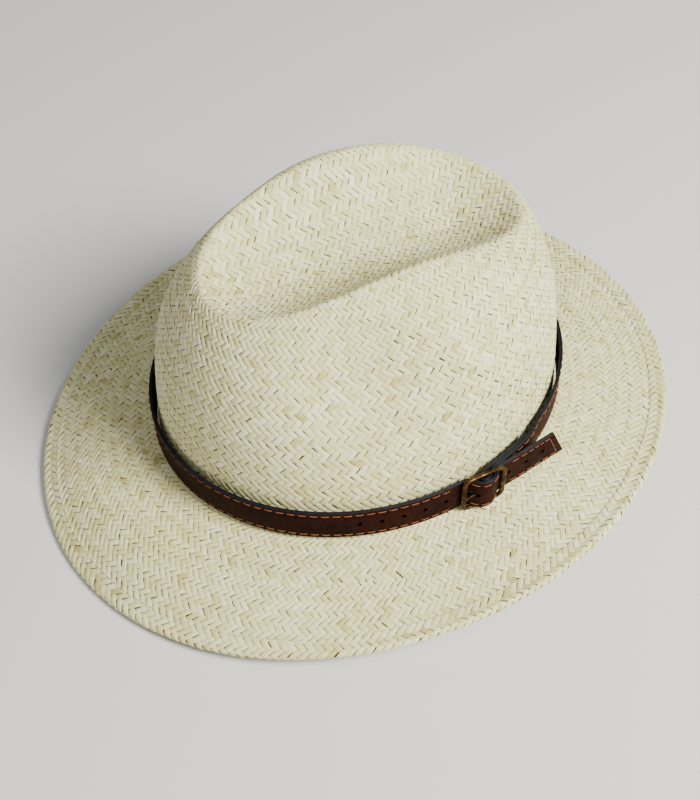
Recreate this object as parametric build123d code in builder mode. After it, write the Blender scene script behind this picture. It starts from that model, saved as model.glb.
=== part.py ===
from build123d import *
from math import asin, atan2, cos, degrees, exp, hypot, pi, radians, sin, sqrt
import os

os.makedirs("parts", exist_ok=True)

# A panama hat: a creased straw crown and a shaped brim woven in one piece, a leather
# sweatband inside, and a removable leather belt with a centre-bar buckle round the crown.
# Millimetres. +X is the wearer's left, -Y the front, +Z up, and the floor is z = 0.

# ---- straw -------------------------------------------------------------------------
CROWN_HALF_WIDTH = 88.0     # outside of the straw at the foot of the crown
CROWN_HALF_LENGTH = 101.0
STRAW = 1.6                 # thickness of the woven straw
RIDGE_HEIGHT_SIDE = 112.0   # ridge above the foot of the crown: sides, front and back
RIDGE_HEIGHT_FRONT = 98.5
RIDGE_HEIGHT_BACK = 92.0
RIDGE_SPREAD_SIDE = 40.0    # how far out the ridge lies, on the same scale as the half width
RIDGE_SPREAD_FRONT = 53.5
RIDGE_SPREAD_BACK = 66.0
VALLEY_MIDDLE = 86.0        # bottom of the top crease above the foot of the crown
VALLEY_FRONT = 88.0
VALLEY_BACK = 79.0
RIDGE_ROUNDING = 7.0
WALL_LEAN = 0.23            # share of the wall's inward run that is straight, the rest is shoulder
SHOULDER_POWER = 4.4
DENT_DEPTH = 15.0           # the two side dents
DENT_ANGLE = -30.0
DENT_SPREAD = 27.0
DENT_HEIGHT = 76.0
DENT_REACH = 25.0
WALL_LEVELS = [12.0, 28.0, 44.0, 60.0, 74.0, 87.0, 99.0, 110.0, 120.0]
CREASE_PITCH = 18.0         # between the curves that shape the crease
CREASE_REACH = 100.0        # half width and top of the body that cuts the crease
CREASE_TOP = 230.0

# ---- brim --------------------------------------------------------------------------
BRIM_SIDE = 49.0            # brim width at the sides, and at the front and back
BRIM_ENDS = 59.0
SIDE_SLOPE = -14.5          # brim height at its edge: a straight share and a curling share
SIDE_CURL = 6.5
FRONT_SLOPE = -6.0
FRONT_CURL = -13.0
BACK_SLOPE = -14.4
BACK_CURL = 4.0
EDGE_RADIUS = 2.0           # rolled edge
WIRE_RADIUS = 0.7
WIRE_FIT = 0.05
HEM_WIDTH = 7.0             # straw turned back under the edge, held by a row of thread
THREAD_RADIUS = 0.25
THREAD_FIT = 0.02
BAR_SIDES = 12              # sides of the thin wire and threads
HEM_SEAT = 0.2              # under the hem's thread, for the brim's slope
OPENING_DEPTH = 8.0         # how far below the crown's foot the head opening is cut
FOOT = EDGE_RADIUS - FRONT_SLOPE - FRONT_CURL   # brim's middle layer at the crown, above the floor

# ---- sweatband ---------------------------------------------------------------------
SWEATBAND_HEIGHT = 35.0
SWEATBAND = 1.1             # leather thickness
SWEATBAND_GAP = 0.35
REED_RADIUS = 0.9
REED_FIT = 0.05
REED_DROP = 1.4             # reed's centre below the foot of the crown
SEAM_HEIGHT = 4.0           # thread that sews the sweatband in, above the foot
SEAM_FIT = 0.15
BOW_HALF_WIDTH = 13.0
BOW_LEVEL = 12.0            # middle of the bow above the foot
BOW_HEIGHT = 7.0
BOW_THICKNESS = 1.0
LABEL_WIDTH = 24.0
LABEL_HEIGHT = 12.0
LABEL_THICKNESS = 0.5
LABEL_LEVEL = 20.0

# ---- belt --------------------------------------------------------------------------
BELT_WIDTH = 18.0
PLY = 0.75                  # each of the two leather plies
BELT_GAP = 0.4              # between the straw and the belt
BELT_LIFT = 2.0             # belt's lower edge above the top of the brim at the crown
LAYER_GAP = 0.1             # between leather layers that lie on each other
FOLD_REACH = 30.0           # folded-back end, past the buckle's centre bar
FOLD_SETTLE = 12.0          # further run in which the belt comes back to the straw
FRONT_LEAVE = 16.0          # before the centre bar, where the belt leaves the straw
TIP_REACH = 45.0            # free end, past the centre bar
TIP_SLANT = 8.0             # how much longer the tip's lower corner is
HOLE_RADIUS = 0.95
HOLE_PITCH = 10.0
HOLES_FRONT = 5
HOLES_TIP = 4
FIRST_HOLE_FRONT = 18.0     # from the centre bar
FIRST_HOLE_TIP = 4.5
TIP_FLARE = 9.5             # how far the free end stands out past its lowest layer
SEAM_OVERLAP = 0.5          # length in which the laced end is modelled over the front half
STITCH_INSET = 2.0          # rows of thread in from the belt's edges
TIP_THREAD_START = 0.66     # threads on the free tip, as shares of the laced stretch
TIP_THREAD_END = 0.84

# ---- buckle ------------------------------------------------------------------------
BUCKLE_ANGLE = 5.3          # round the crown from the left side towards the back
BAR_SPACING = 10.0          # centre bar to front bar and to rear bar
BAR_WIDTH = 2.4             # the upright bars
RAIL_WIDTH = 1.7            # the top and bottom rails
BAR_THICKNESS = 1.8
CENTRE_BAR_RADIUS = 0.9
BAR_FIT = 0.1               # leather fold round the centre bar
BUCKLE_PLAY = 0.6           # outer bars to the leather beneath them
BUCKLE_OPENING = 18.8       # inside height of the frame
PRONG_RADIUS = 0.75
PRONG_RING = 1.8            # outside radius of the prong's eye
PRONG_FIT = 0.06
PRONG_OVERHANG = 2.0
PRONG_SLOT = 2.3            # height of the slot in the fold
PRONG_SWING = 0.7           # room in the belt hole for the prong to swing out
RIVET_POSITION = 22.0       # past the centre bar
RIVET_LIFT = 3.0            # above the belt's middle
RIVET_CAP_RADIUS = 3.0
RIVET_CAP_HEIGHT = 1.0
RIVET_POST_RADIUS = 1.2
RIVET_FLANGE_RADIUS = 2.2
RIVET_FLANGE = 0.5
RIVET_FIT = 0.03
RIVET_SEAT = 0.1            # under the cap, for the belt's curve

# ---- places worked out from the sizes ------------------------------------------------
FOCUS = sqrt(CROWN_HALF_LENGTH**2 - CROWN_HALF_WIDTH**2)
BRIM_TOP = FOOT + STRAW / 2
BELT_LOW = BRIM_TOP + BELT_LIFT
BELT_MIDDLE = BELT_LOW + BELT_WIDTH / 2
BELT = 2 * PLY
ANGLES = [12.0 * step for step in range(30)]
SHARES = [-0.012, 0.2, 0.4, 0.6, 0.8]
HALF_TURN = [-90.0 + 15.0 * step for step in range(13)]


def blend(angle, side, front, back):
    """A value that runs smoothly round the hat from the sides to the front and back."""
    ends = sin(radians(angle)) ** 2
    return side * (1 - ends) + (back if sin(radians(angle)) > 0 else front) * ends


def ridge_height(angle):
    return blend(angle, RIDGE_HEIGHT_SIDE, RIDGE_HEIGHT_FRONT, RIDGE_HEIGHT_BACK)


def ridge_spread(angle):
    return blend(angle, RIDGE_SPREAD_SIDE, RIDGE_SPREAD_FRONT, RIDGE_SPREAD_BACK)


def dent(angle, height):
    """Depth of the side dents, the same on the left and the right."""
    folded = degrees(asin(sin(radians(angle))))
    across = exp(-(((folded - DENT_ANGLE) / DENT_SPREAD) ** 2)) * cos(radians(angle)) ** 2
    return DENT_DEPTH * across * exp(-(((height - DENT_HEIGHT) / DENT_REACH) ** 2))


def wall_spread(angle, height):
    share = max(height, 0.0) / ridge_height(angle)
    run = WALL_LEAN * share + (1 - WALL_LEAN) * share**SHOULDER_POWER
    return CROWN_HALF_WIDTH - (CROWN_HALF_WIDTH - ridge_spread(angle)) * run - dent(angle, height)


def oval_point(spread, angle):
    """A point on the oval of the given half width that shares the crown's focus."""
    return (
        spread * cos(radians(angle)),
        sqrt(spread**2 + FOCUS**2) * sin(radians(angle)),
    )


def crease_height(x, y):
    """Height of the crown's top above its foot: a valley that climbs to the ridge all round."""
    reach = x * x + y * y - FOCUS**2
    spread = sqrt((reach + sqrt(reach**2 + (2 * FOCUS * x) ** 2)) / 2)
    angle = degrees(asin(max(-1.0, min(1.0, y / sqrt(spread**2 + FOCUS**2)))))
    valley = blend(angle, VALLEY_MIDDLE, VALLEY_FRONT, VALLEY_BACK)
    out = spread / ridge_spread(angle)
    climb = out**2 if out < 1 else 2 * out - 1
    return valley + (ridge_height(angle) - valley) * climb


def polar_radius(half_width, half_length, angle):
    return 1 / hypot(cos(radians(angle)) / half_width, sin(radians(angle)) / half_length)


def brim_point(angle, share, rise=0.0):
    """Radius and height on the brim's middle layer, share 0 at the crown and 1 at the edge."""
    inner = polar_radius(CROWN_HALF_WIDTH, CROWN_HALF_LENGTH, angle)
    outer = polar_radius(CROWN_HALF_WIDTH + BRIM_SIDE, CROWN_HALF_LENGTH + BRIM_ENDS, angle)
    lift = sin(radians(angle))
    ends = lift**2 if lift < 0 else lift**4
    slope = SIDE_SLOPE + ((FRONT_SLOPE if lift < 0 else BACK_SLOPE) - SIDE_SLOPE) * ends
    curl = SIDE_CURL + ((FRONT_CURL if lift < 0 else BACK_CURL) - SIDE_CURL) * ends
    drop = slope * max(share, 0) + curl * max(share, 0) ** 3
    return inner + (outer - inner) * share, FOOT + drop + rise


def crown_form(inset, drop, low, rounding):
    """Closed crown form: ovals lofted up the wall, and the crease cut out of the top."""
    with BuildPart() as form:
        for level in [low, *WALL_LEVELS]:
            with BuildSketch(Plane.XY.offset(FOOT + level)):
                with BuildLine():
                    ring = [oval_point(wall_spread(a, level + drop) - inset, a) for a in ANGLES]
                    Spline(*ring, periodic=True)
                make_face()
        loft()
    with BuildPart() as above:
        for station in range(-6, 7):
            y = station * CREASE_PITCH
            with BuildSketch(Plane.XZ.offset(-y)):
                with BuildLine():
                    across = [CREASE_REACH * step / 5 for step in range(-5, 6)]
                    low_edge = Spline(*[(x, FOOT + crease_height(x, y) - drop) for x in across])
                    Polyline(
                        low_edge @ 1,
                        (CREASE_REACH, FOOT + CREASE_TOP),
                        (-CREASE_REACH, FOOT + CREASE_TOP),
                        low_edge @ 0,
                    )
                make_face()
        loft()
    with BuildPart() as crown:
        add(form.part)
        add(above.part, mode=Mode.SUBTRACT)
        ridge = crown.edges().filter_by(lambda edge: edge.center().Z > FOOT + DENT_HEIGHT)
        fillet(ridge, radius=rounding)
    return crown.part


def radial_plane(angle):
    """The upright plane from the hat's middle towards the given angle."""
    return Plane(
        origin=(0, 0, 0),
        x_dir=(cos(radians(angle)), sin(radians(angle)), 0),
        z_dir=(sin(radians(angle)), -cos(radians(angle)), 0),
    )


def ring_along_brim(radius, share, rise=0.0):
    """A bar that follows the brim: the left half lofted, then mirrored."""
    with BuildPart() as bar:
        for turn in HALF_TURN:
            with BuildSketch(radial_plane(turn)):
                with Locations(brim_point(turn, share, rise)):
                    RegularPolygon(radius, BAR_SIDES)
        loft()
        mirror(about=Plane.YZ)
    return bar.part


# ---- straw body: crown, brim and rolled edge woven in one piece ----------------------
with BuildPart() as brim:
    for turn in HALF_TURN:
        with BuildSketch(radial_plane(turn)):
            neck = sqrt(EDGE_RADIUS**2 - STRAW**2 / 4)
            edge = Vector(*brim_point(turn, 1))
            outward = (edge - Vector(*brim_point(turn, 0.96))).normalized()
            upward = Vector(-outward.Y, outward.X)
            roll_top = edge - outward * neck + upward * STRAW / 2
            roll_foot = edge - outward * neck - upward * STRAW / 2
            with BuildLine():
                lower = Spline(*[brim_point(turn, share, -STRAW / 2) for share in SHARES], roll_foot)
                ThreePointArc(roll_foot, edge + outward * EDGE_RADIUS, roll_top)
                upper = Spline(*[brim_point(turn, share, STRAW / 2) for share in SHARES], roll_top)
                Line(upper @ 0, lower @ 0)
            make_face()
    loft()
    mirror(about=Plane.YZ)
    add(ring_along_brim(WIRE_RADIUS + WIRE_FIT, 1.0), mode=Mode.SUBTRACT)

with BuildPart() as straw_body:
    add(crown_form(0.0, 0.0, -STRAW / 2, RIDGE_ROUNDING))
    add(brim.part)
    add(crown_form(STRAW, STRAW, -OPENING_DEPTH, RIDGE_ROUNDING - STRAW), mode=Mode.SUBTRACT)
straw_body.part.label = "straw_body"
export_step(straw_body.part, "parts/straw_body.step")

brim_edge_wire = ring_along_brim(WIRE_RADIUS, 1.0)
brim_edge_wire.label = "brim_edge_wire"
export_step(brim_edge_wire, "parts/brim_edge_wire.step")

hem_share = 1 - HEM_WIDTH / BRIM_SIDE
brim_hem_thread = ring_along_brim(THREAD_RADIUS, hem_share, STRAW / 2 + THREAD_RADIUS + HEM_SEAT)
brim_hem_thread.label = "brim_hem_thread"
export_step(brim_hem_thread, "parts/brim_hem_thread.step")


# ---- sweatband with its reed, thread, bow and label ----------------------------------
def wall_form(inset, low, high):
    """Solid that fills the inside of the crown's wall between two heights."""
    with BuildPart() as form:
        for step in range(5):
            level = low + (high - low) * step / 4
            with BuildSketch(Plane.XY.offset(FOOT + level)):
                with BuildLine():
                    ring = [oval_point(wall_spread(a, level + STRAW) - inset, a) for a in ANGLES]
                    Spline(*ring, periodic=True)
                make_face()
        loft()
    return form.part


def oval_ring(spread, height, radius):
    """A round ring along a level oval inside the hat."""
    half_length = sqrt(spread**2 + FOCUS**2)
    with BuildPart() as ring:
        with BuildLine(Plane.XY.offset(height)) as path:
            EllipticalCenterArc((0, 0), spread, half_length, start_angle=0, arc_size=360)
        with BuildSketch(Plane(origin=(spread, 0, height), z_dir=(0, 1, 0))):
            Circle(radius)
        sweep(path=path.line)
    return ring.part


lining = STRAW + SWEATBAND_GAP
roll_radius = REED_RADIUS + REED_FIT + SWEATBAND
roll_spread = CROWN_HALF_WIDTH - lining - roll_radius
roll_height = FOOT - REED_DROP
with BuildPart() as sweatband:
    add(wall_form(lining, -REED_DROP, SWEATBAND_HEIGHT))
    add(wall_form(lining + SWEATBAND, -REED_DROP - 1, SWEATBAND_HEIGHT + 1), mode=Mode.SUBTRACT)
    add(oval_ring(roll_spread, roll_height, roll_radius))
    add(oval_ring(roll_spread, roll_height, REED_RADIUS + REED_FIT), mode=Mode.SUBTRACT)
sweatband.part.label = "sweatband"
export_step(sweatband.part, "parts/sweatband.step")

sweatband_reed = oval_ring(roll_spread, roll_height, REED_RADIUS)
sweatband_reed.label = "sweatband_reed"
export_step(sweatband_reed, "parts/sweatband_reed.step")

seam_spread = wall_spread(0, SEAM_HEIGHT + STRAW) - lining - SWEATBAND - THREAD_RADIUS - SEAM_FIT
sweatband_thread = oval_ring(seam_spread, FOOT + SEAM_HEIGHT, THREAD_RADIUS)
sweatband_thread.label = "sweatband_thread"
export_step(sweatband_thread, "parts/sweatband_thread.step")


def flat_face_inside(half_width, angle, height):
    """How far out a flat piece of the given half width can sit against the sweatband."""
    spread = wall_spread(angle, height) - lining - SWEATBAND - SEAM_FIT
    return sqrt(spread**2 + FOCUS**2) * sqrt(1 - (half_width / spread) ** 2)


bow_face = flat_face_inside(BOW_HALF_WIDTH, 90, BOW_LEVEL + BOW_HEIGHT)
with BuildPart() as sweatband_bow:
    with BuildSketch(Plane.XZ.offset(-bow_face)):
        with Locations((0, FOOT + BOW_LEVEL)):
            with Locations((-BOW_HALF_WIDTH / 2, 0), (BOW_HALF_WIDTH / 2, 0)):
                Ellipse(BOW_HALF_WIDTH / 2, BOW_HEIGHT / 2)
            Rectangle(BOW_HEIGHT / 2, BOW_HEIGHT * 0.7)
    extrude(amount=BOW_THICKNESS)
sweatband_bow.part.label = "sweatband_bow"
export_step(sweatband_bow.part, "parts/sweatband_bow.step")

label_face = flat_face_inside(LABEL_WIDTH / 2, -90, LABEL_LEVEL + LABEL_HEIGHT)
with BuildPart() as size_label:
    with BuildSketch(Plane.XZ.offset(label_face)):
        with Locations((0, FOOT + LABEL_LEVEL)):
            Rectangle(LABEL_WIDTH, LABEL_HEIGHT)
    extrude(amount=-LABEL_THICKNESS)
size_label.part.label = "size_label"
export_step(size_label.part, "parts/size_label.step")

# ---- belt: a two-ply strap folded round the buckle's centre bar ----------------------
BUCKLE_TURN = radians(BUCKLE_ANGLE)
BELT_RUN = hypot(CROWN_HALF_WIDTH * sin(BUCKLE_TURN), CROWN_HALF_LENGTH * cos(BUCKLE_TURN))
BUCKLE_CURVE = BELT_RUN**3 / (CROWN_HALF_WIDTH * CROWN_HALF_LENGTH)
FALL = BAR_SPACING**2 / (2 * BUCKLE_CURVE)      # crown's curve away from the bars
FIRST_LAYER = BELT_GAP + PLY                    # middles of the leather layers, out from the straw
SECOND_LAYER = FIRST_LAYER + BELT + LAYER_GAP
THIRD_LAYER = SECOND_LAYER + BELT + LAYER_GAP
FRONT_BAR = FIRST_LAYER + PLY + BUCKLE_PLAY + BAR_THICKNESS / 2 - FALL
REAR_BAR = THIRD_LAYER + PLY + BUCKLE_PLAY + BAR_THICKNESS / 2 - FALL
CENTRE_BAR = (FRONT_BAR + REAR_BAR) / 2
FOLD_RADIUS = CENTRE_BAR_RADIUS + BAR_FIT + PLY
OVER_FOLD = CENTRE_BAR + FOLD_RADIUS + BELT + LAYER_GAP


def belt_normal(along):
    """The oval's outward direction at a distance along the belt from the centre bar."""
    angle = BUCKLE_TURN + along / BELT_RUN
    return Vector(cos(angle) / CROWN_HALF_WIDTH, sin(angle) / CROWN_HALF_LENGTH).normalized()


def belt_place(along, out):
    """A point of the belt in plan: distance along from the centre bar, and out from the straw."""
    angle = BUCKLE_TURN + along / BELT_RUN
    foot = Vector(CROWN_HALF_WIDTH * cos(angle), CROWN_HALF_LENGTH * sin(angle))
    return foot + belt_normal(along) * out


def belt_side(along):
    """Direction of the belt's run in plan."""
    outward = belt_normal(along)
    return Vector(-outward.Y, outward.X)


FOLD_END = FOLD_REACH + FOLD_SETTLE
HALF_BELT = pi * BELT_RUN
FRONT_END = -FRONT_LEAVE


def on_straw(start, end):
    """A stretch that lies against the straw: point for a share of it, and how far outside."""
    return lambda share, out: belt_place(start + (end - start) * share, FIRST_LAYER + out)


def along_curve(curve):
    """A stretch that follows a curve: point for a share of it, and how far to its right."""
    def place(share, right):
        side = curve % share
        return (curve @ share) + Vector(side.Y, -side.X) * right
    return place


def tail_stretches():
    """The folded tail: inner leg, fold round the bar, outer leg, and the back half."""
    inner = Spline(
        belt_place(FOLD_REACH, FIRST_LAYER),
        belt_place(2 * BAR_SPACING, FIRST_LAYER),
        belt_place(BAR_SPACING, FIRST_LAYER),
        belt_place(0.7 * BAR_SPACING, FIRST_LAYER),
        belt_place(0.35 * BAR_SPACING, FIRST_LAYER + 0.6),
        belt_place(0, CENTRE_BAR - FOLD_RADIUS),
        tangents=[-belt_side(FOLD_REACH), -belt_side(0)],
    )
    fold = ThreePointArc(
        belt_place(0, CENTRE_BAR - FOLD_RADIUS),
        belt_place(0, CENTRE_BAR) - belt_side(0) * FOLD_RADIUS,
        belt_place(0, CENTRE_BAR + FOLD_RADIUS),
    )
    fold_top = CENTRE_BAR + FOLD_RADIUS
    descent = ((0.35, 0.58), (0.55, 0.22), (0.75, 0.04))
    outer = Spline(
        belt_place(0, fold_top),
        *[
            belt_place(BAR_SPACING * share, SECOND_LAYER + (fold_top - SECOND_LAYER) * left)
            for share, left in descent
        ],
        *[belt_place(BAR_SPACING * step / 2, SECOND_LAYER) for step in (2, 3, 4, 5)],
        belt_place(FOLD_REACH, SECOND_LAYER),
        belt_place(FOLD_END, FIRST_LAYER),
        tangents=[belt_side(0), belt_side(FOLD_END)],
    )
    return [
        (along_curve(inner), 24),
        (along_curve(fold), 12),
        (along_curve(outer), 36),
        (on_straw(FOLD_END, HALF_BELT), 24),
    ]


def front_stretches():
    """From the back round the front, then under, over and under the bars, to the tip."""
    laced = Spline(
        belt_place(FRONT_END, FIRST_LAYER),
        belt_place(-BAR_SPACING, FIRST_LAYER),
        belt_place(-0.8 * BAR_SPACING, FIRST_LAYER + 0.3),
        belt_place(-0.46 * BAR_SPACING, CENTRE_BAR + 0.3),
        belt_place(-0.3 * BAR_SPACING, OVER_FOLD - 1.1),
        belt_place(0, OVER_FOLD),
        belt_place(0.5 * BAR_SPACING, OVER_FOLD - 1.4),
        belt_place(0.8 * BAR_SPACING, THIRD_LAYER + 0.1),
        belt_place(BAR_SPACING, THIRD_LAYER),
        belt_place(1.2 * BAR_SPACING, THIRD_LAYER + 0.15),
        belt_place(RIVET_POSITION - RIVET_CAP_RADIUS, THIRD_LAYER + RIVET_CAP_HEIGHT + 0.4),
        belt_place(RIVET_POSITION + RIVET_CAP_RADIUS, THIRD_LAYER + RIVET_CAP_HEIGHT + 1.6),
        belt_place(TIP_REACH, THIRD_LAYER + TIP_FLARE),
    )
    start = HALF_BELT - 2 * pi * BELT_RUN
    return [(on_straw(start, FRONT_END + SEAM_OVERLAP), 24), (along_curve(laced), 90)]


def leather(stretches, low, high):
    """Strap between two distances to the right of its middle line, the belt's full width."""
    with BuildPart() as strap:
        for place, count in stretches:
            shares = [step / count for step in range(count + 1)]
            with BuildSketch(Plane.XY.offset(BELT_LOW)):
                with BuildLine():
                    left = Spline(*[place(share, low) for share in shares])
                    right = Spline(*[place(share, high) for share in shares])
                    Line(left @ 0, right @ 0)
                    Line(left @ 1, right @ 1)
                make_face()
            extrude(amount=BELT_WIDTH)
    return strap.part


buckle_side = belt_side(0)
buckle_out = belt_normal(0)
buckle_origin = belt_place(0, CENTRE_BAR) + Vector(0, 0, BELT_MIDDLE)
buckle_tilt = atan2(REAR_BAR - FRONT_BAR, 2 * BAR_SPACING)
buckle_level = Plane(origin=buckle_origin, x_dir=buckle_side, z_dir=buckle_out)
buckle_run = buckle_side * cos(buckle_tilt) + buckle_out * sin(buckle_tilt)
buckle_face = buckle_out * cos(buckle_tilt) - buckle_side * sin(buckle_tilt)
buckle_plane = Plane(origin=buckle_origin, x_dir=buckle_run, z_dir=buckle_face)
prong_plane = Plane(origin=buckle_origin, x_dir=buckle_side, z_dir=(0, 0, -1))
prong_level = BAR_THICKNESS / 2 + BELT_GAP + PRONG_RADIUS - (CENTRE_BAR - FRONT_BAR)


def belt_hole(along, radius=HOLE_RADIUS, lift=0.0, depth=20.0, start=0.0):
    """A round cutter square to the crown at a distance along the belt."""
    place = belt_place(along, start) + Vector(0, 0, BELT_MIDDLE + lift)
    with BuildPart() as cutter:
        with BuildSketch(Plane(origin=place, x_dir=belt_side(along), z_dir=belt_normal(along))):
            Circle(radius)
        extrude(amount=depth)
    return cutter.part


with BuildPart() as prong_slot:
    with BuildSketch(buckle_level):
        with Locations((-PRONG_RING / 4, 0)):
            Rectangle(2.6 * PRONG_RING, PRONG_SLOT)
    extrude(amount=FOLD_RADIUS + BELT, both=True)

with BuildPart() as prong_hole:
    with BuildSketch(Plane(origin=buckle_origin, x_dir=buckle_out, z_dir=-buckle_side)):
        with Locations((prong_level + PRONG_SWING / 2, 0)):
            Rectangle(2 * PRONG_RADIUS + PRONG_SWING + 2 * BELT_GAP, 2 * PRONG_RADIUS + 2 * BELT_GAP)
    extrude(amount=BAR_SPACING * 0.9)

with BuildPart() as tip_cut:
    with BuildSketch(buckle_level):
        reach = TIP_REACH * cos(TIP_REACH / BELT_RUN)
        with BuildLine():
            Polyline(
                (reach, -BELT_WIDTH / 2 - 1),
                (reach - TIP_SLANT, BELT_WIDTH / 2),
                (reach - TIP_SLANT, BELT_WIDTH),
                (2 * reach, BELT_WIDTH),
                (2 * reach, -BELT_WIDTH / 2 - 1),
                close=True,
            )
        make_face()
    extrude(amount=TIP_REACH, both=True)


def strap_ply(low, high):
    """One ply of the strap with its slot, holes, slanted tip and rivet hole."""
    with BuildPart() as tail:
        add(leather(tail_stretches(), low, high))
        add(prong_slot.part, mode=Mode.SUBTRACT)
        add(belt_hole(RIVET_POSITION, RIVET_POST_RADIUS + RIVET_FIT, RIVET_LIFT), mode=Mode.SUBTRACT)
        flange = belt_hole(RIVET_POSITION, RIVET_FLANGE_RADIUS + RIVET_FIT, RIVET_LIFT,
                           BELT_GAP + RIVET_FLANGE + RIVET_FIT)
        add(flange, mode=Mode.SUBTRACT)
    with BuildPart() as ply:
        add(leather(front_stretches(), low, high))
        add(prong_hole.part, mode=Mode.SUBTRACT)
        add(tip_cut.part, mode=Mode.SUBTRACT)
        for hole in range(HOLES_FRONT):
            add(belt_hole(-FIRST_HOLE_FRONT - HOLE_PITCH * hole), mode=Mode.SUBTRACT)
        for hole in range(HOLES_TIP):
            add(belt_hole(FIRST_HOLE_TIP + HOLE_PITCH * hole), mode=Mode.SUBTRACT)
        add(tail.part)
    return ply.part


strap_face_leather = strap_ply(0.0, PLY)
strap_face_leather.label = "strap_face_leather"
export_step(strap_face_leather, "parts/strap_face_leather.step")

strap_backing_leather = strap_ply(-PLY, 0.0)
strap_backing_leather.label = "strap_backing_leather"
export_step(strap_backing_leather, "parts/strap_backing_leather.step")


def thread_row(height):
    """A row of thread on the strap's face: round the crown, and on the free tip."""
    rise = PLY + THREAD_RADIUS + THREAD_FIT
    round_crown = on_straw(FOLD_END, FRONT_END + 2 * pi * BELT_RUN)
    laced = front_stretches()[1][0]
    with BuildPart() as row:
        for place, start, end, count in (
            (round_crown, 0.0, 1.0, 48),
            (laced, TIP_THREAD_START, TIP_THREAD_END, 8),
        ):
            shares = [start + (end - start) * step / count for step in range(count + 1)]
            with BuildLine(Plane.XY.offset(BELT_MIDDLE + height)) as path:
                Spline(*[tuple(place(share, rise))[:2] for share in shares])
            with BuildSketch(Plane(origin=path.line @ 0, z_dir=path.line % 0)):
                RegularPolygon(THREAD_RADIUS, BAR_SIDES)
            sweep(path=path.line)
    return row.part


ROW = BELT_WIDTH / 2 - STITCH_INSET
for name, height in (("strap_thread_upper", ROW), ("strap_thread_lower", -ROW)):
    thread = thread_row(height)
    thread.label = name
    export_step(thread, f"parts/{name}.step")

# ---- buckle, prong and rivet ---------------------------------------------------------
bar_reach = hypot(BAR_SPACING, (REAR_BAR - FRONT_BAR) / 2)
with BuildPart() as buckle_frame:
    with BuildSketch(buckle_plane):
        RectangleRounded(2 * bar_reach + BAR_WIDTH, BUCKLE_OPENING + 2 * RAIL_WIDTH, BAR_WIDTH * 1.4)
        RectangleRounded(2 * bar_reach - BAR_WIDTH, BUCKLE_OPENING, BAR_WIDTH * 0.6,
                         mode=Mode.SUBTRACT)
    extrude(amount=BAR_THICKNESS / 2, both=True)
    fillet(buckle_frame.edges(), radius=BAR_THICKNESS / 4)
    with BuildSketch(Plane.XY.offset(BELT_MIDDLE)):
        with Locations(belt_place(0, CENTRE_BAR)):
            Circle(CENTRE_BAR_RADIUS)
    extrude(amount=(BUCKLE_OPENING + RAIL_WIDTH) / 2, both=True)
buckle_frame.part.label = "buckle_frame"
export_step(buckle_frame.part, "parts/buckle_frame.step")

prong_tip = (-BAR_SPACING - PRONG_OVERHANG, prong_level)
with BuildPart() as buckle_prong:
    with BuildSketch(prong_plane):
        Circle(PRONG_RING)
        Circle(CENTRE_BAR_RADIUS + PRONG_FIT, mode=Mode.SUBTRACT)
    extrude(amount=PRONG_RADIUS, both=True)
    arm_start = (-(CENTRE_BAR_RADIUS + PRONG_RING) / 2, prong_level * 0.5)
    with BuildLine(prong_plane) as arm:
        Line(arm_start, prong_tip)
    with BuildSketch(Plane(origin=arm.line @ 0, z_dir=arm.line % 0)):
        Circle(PRONG_RADIUS)
    sweep(path=arm.line)
buckle_prong.part.label = "buckle_prong"
export_step(buckle_prong.part, "parts/buckle_prong.step")

cap_foot = SECOND_LAYER + PLY + RIVET_SEAT
with BuildPart() as rivet_cap:
    add(belt_hole(RIVET_POSITION, RIVET_CAP_RADIUS, RIVET_LIFT, RIVET_CAP_HEIGHT, cap_foot))
    rim = rivet_cap.edges().sort_by_distance(belt_place(RIVET_POSITION, 100) + Vector(0, 0, BELT_MIDDLE))
    fillet(rim[0], radius=RIVET_CAP_HEIGHT * 0.8)
rivet_cap.part.label = "rivet_cap"
export_step(rivet_cap.part, "parts/rivet_cap.step")

with BuildPart() as rivet_post:
    add(belt_hole(RIVET_POSITION, RIVET_POST_RADIUS, RIVET_LIFT, cap_foot - BELT_GAP, BELT_GAP))
    add(belt_hole(RIVET_POSITION, RIVET_FLANGE_RADIUS, RIVET_LIFT, RIVET_FLANGE, BELT_GAP))
rivet_post.part.label = "rivet_post"
export_step(rivet_post.part, "parts/rivet_post.step")
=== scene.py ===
import math

import bpy
import numpy as np
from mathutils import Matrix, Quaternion, Vector


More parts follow.
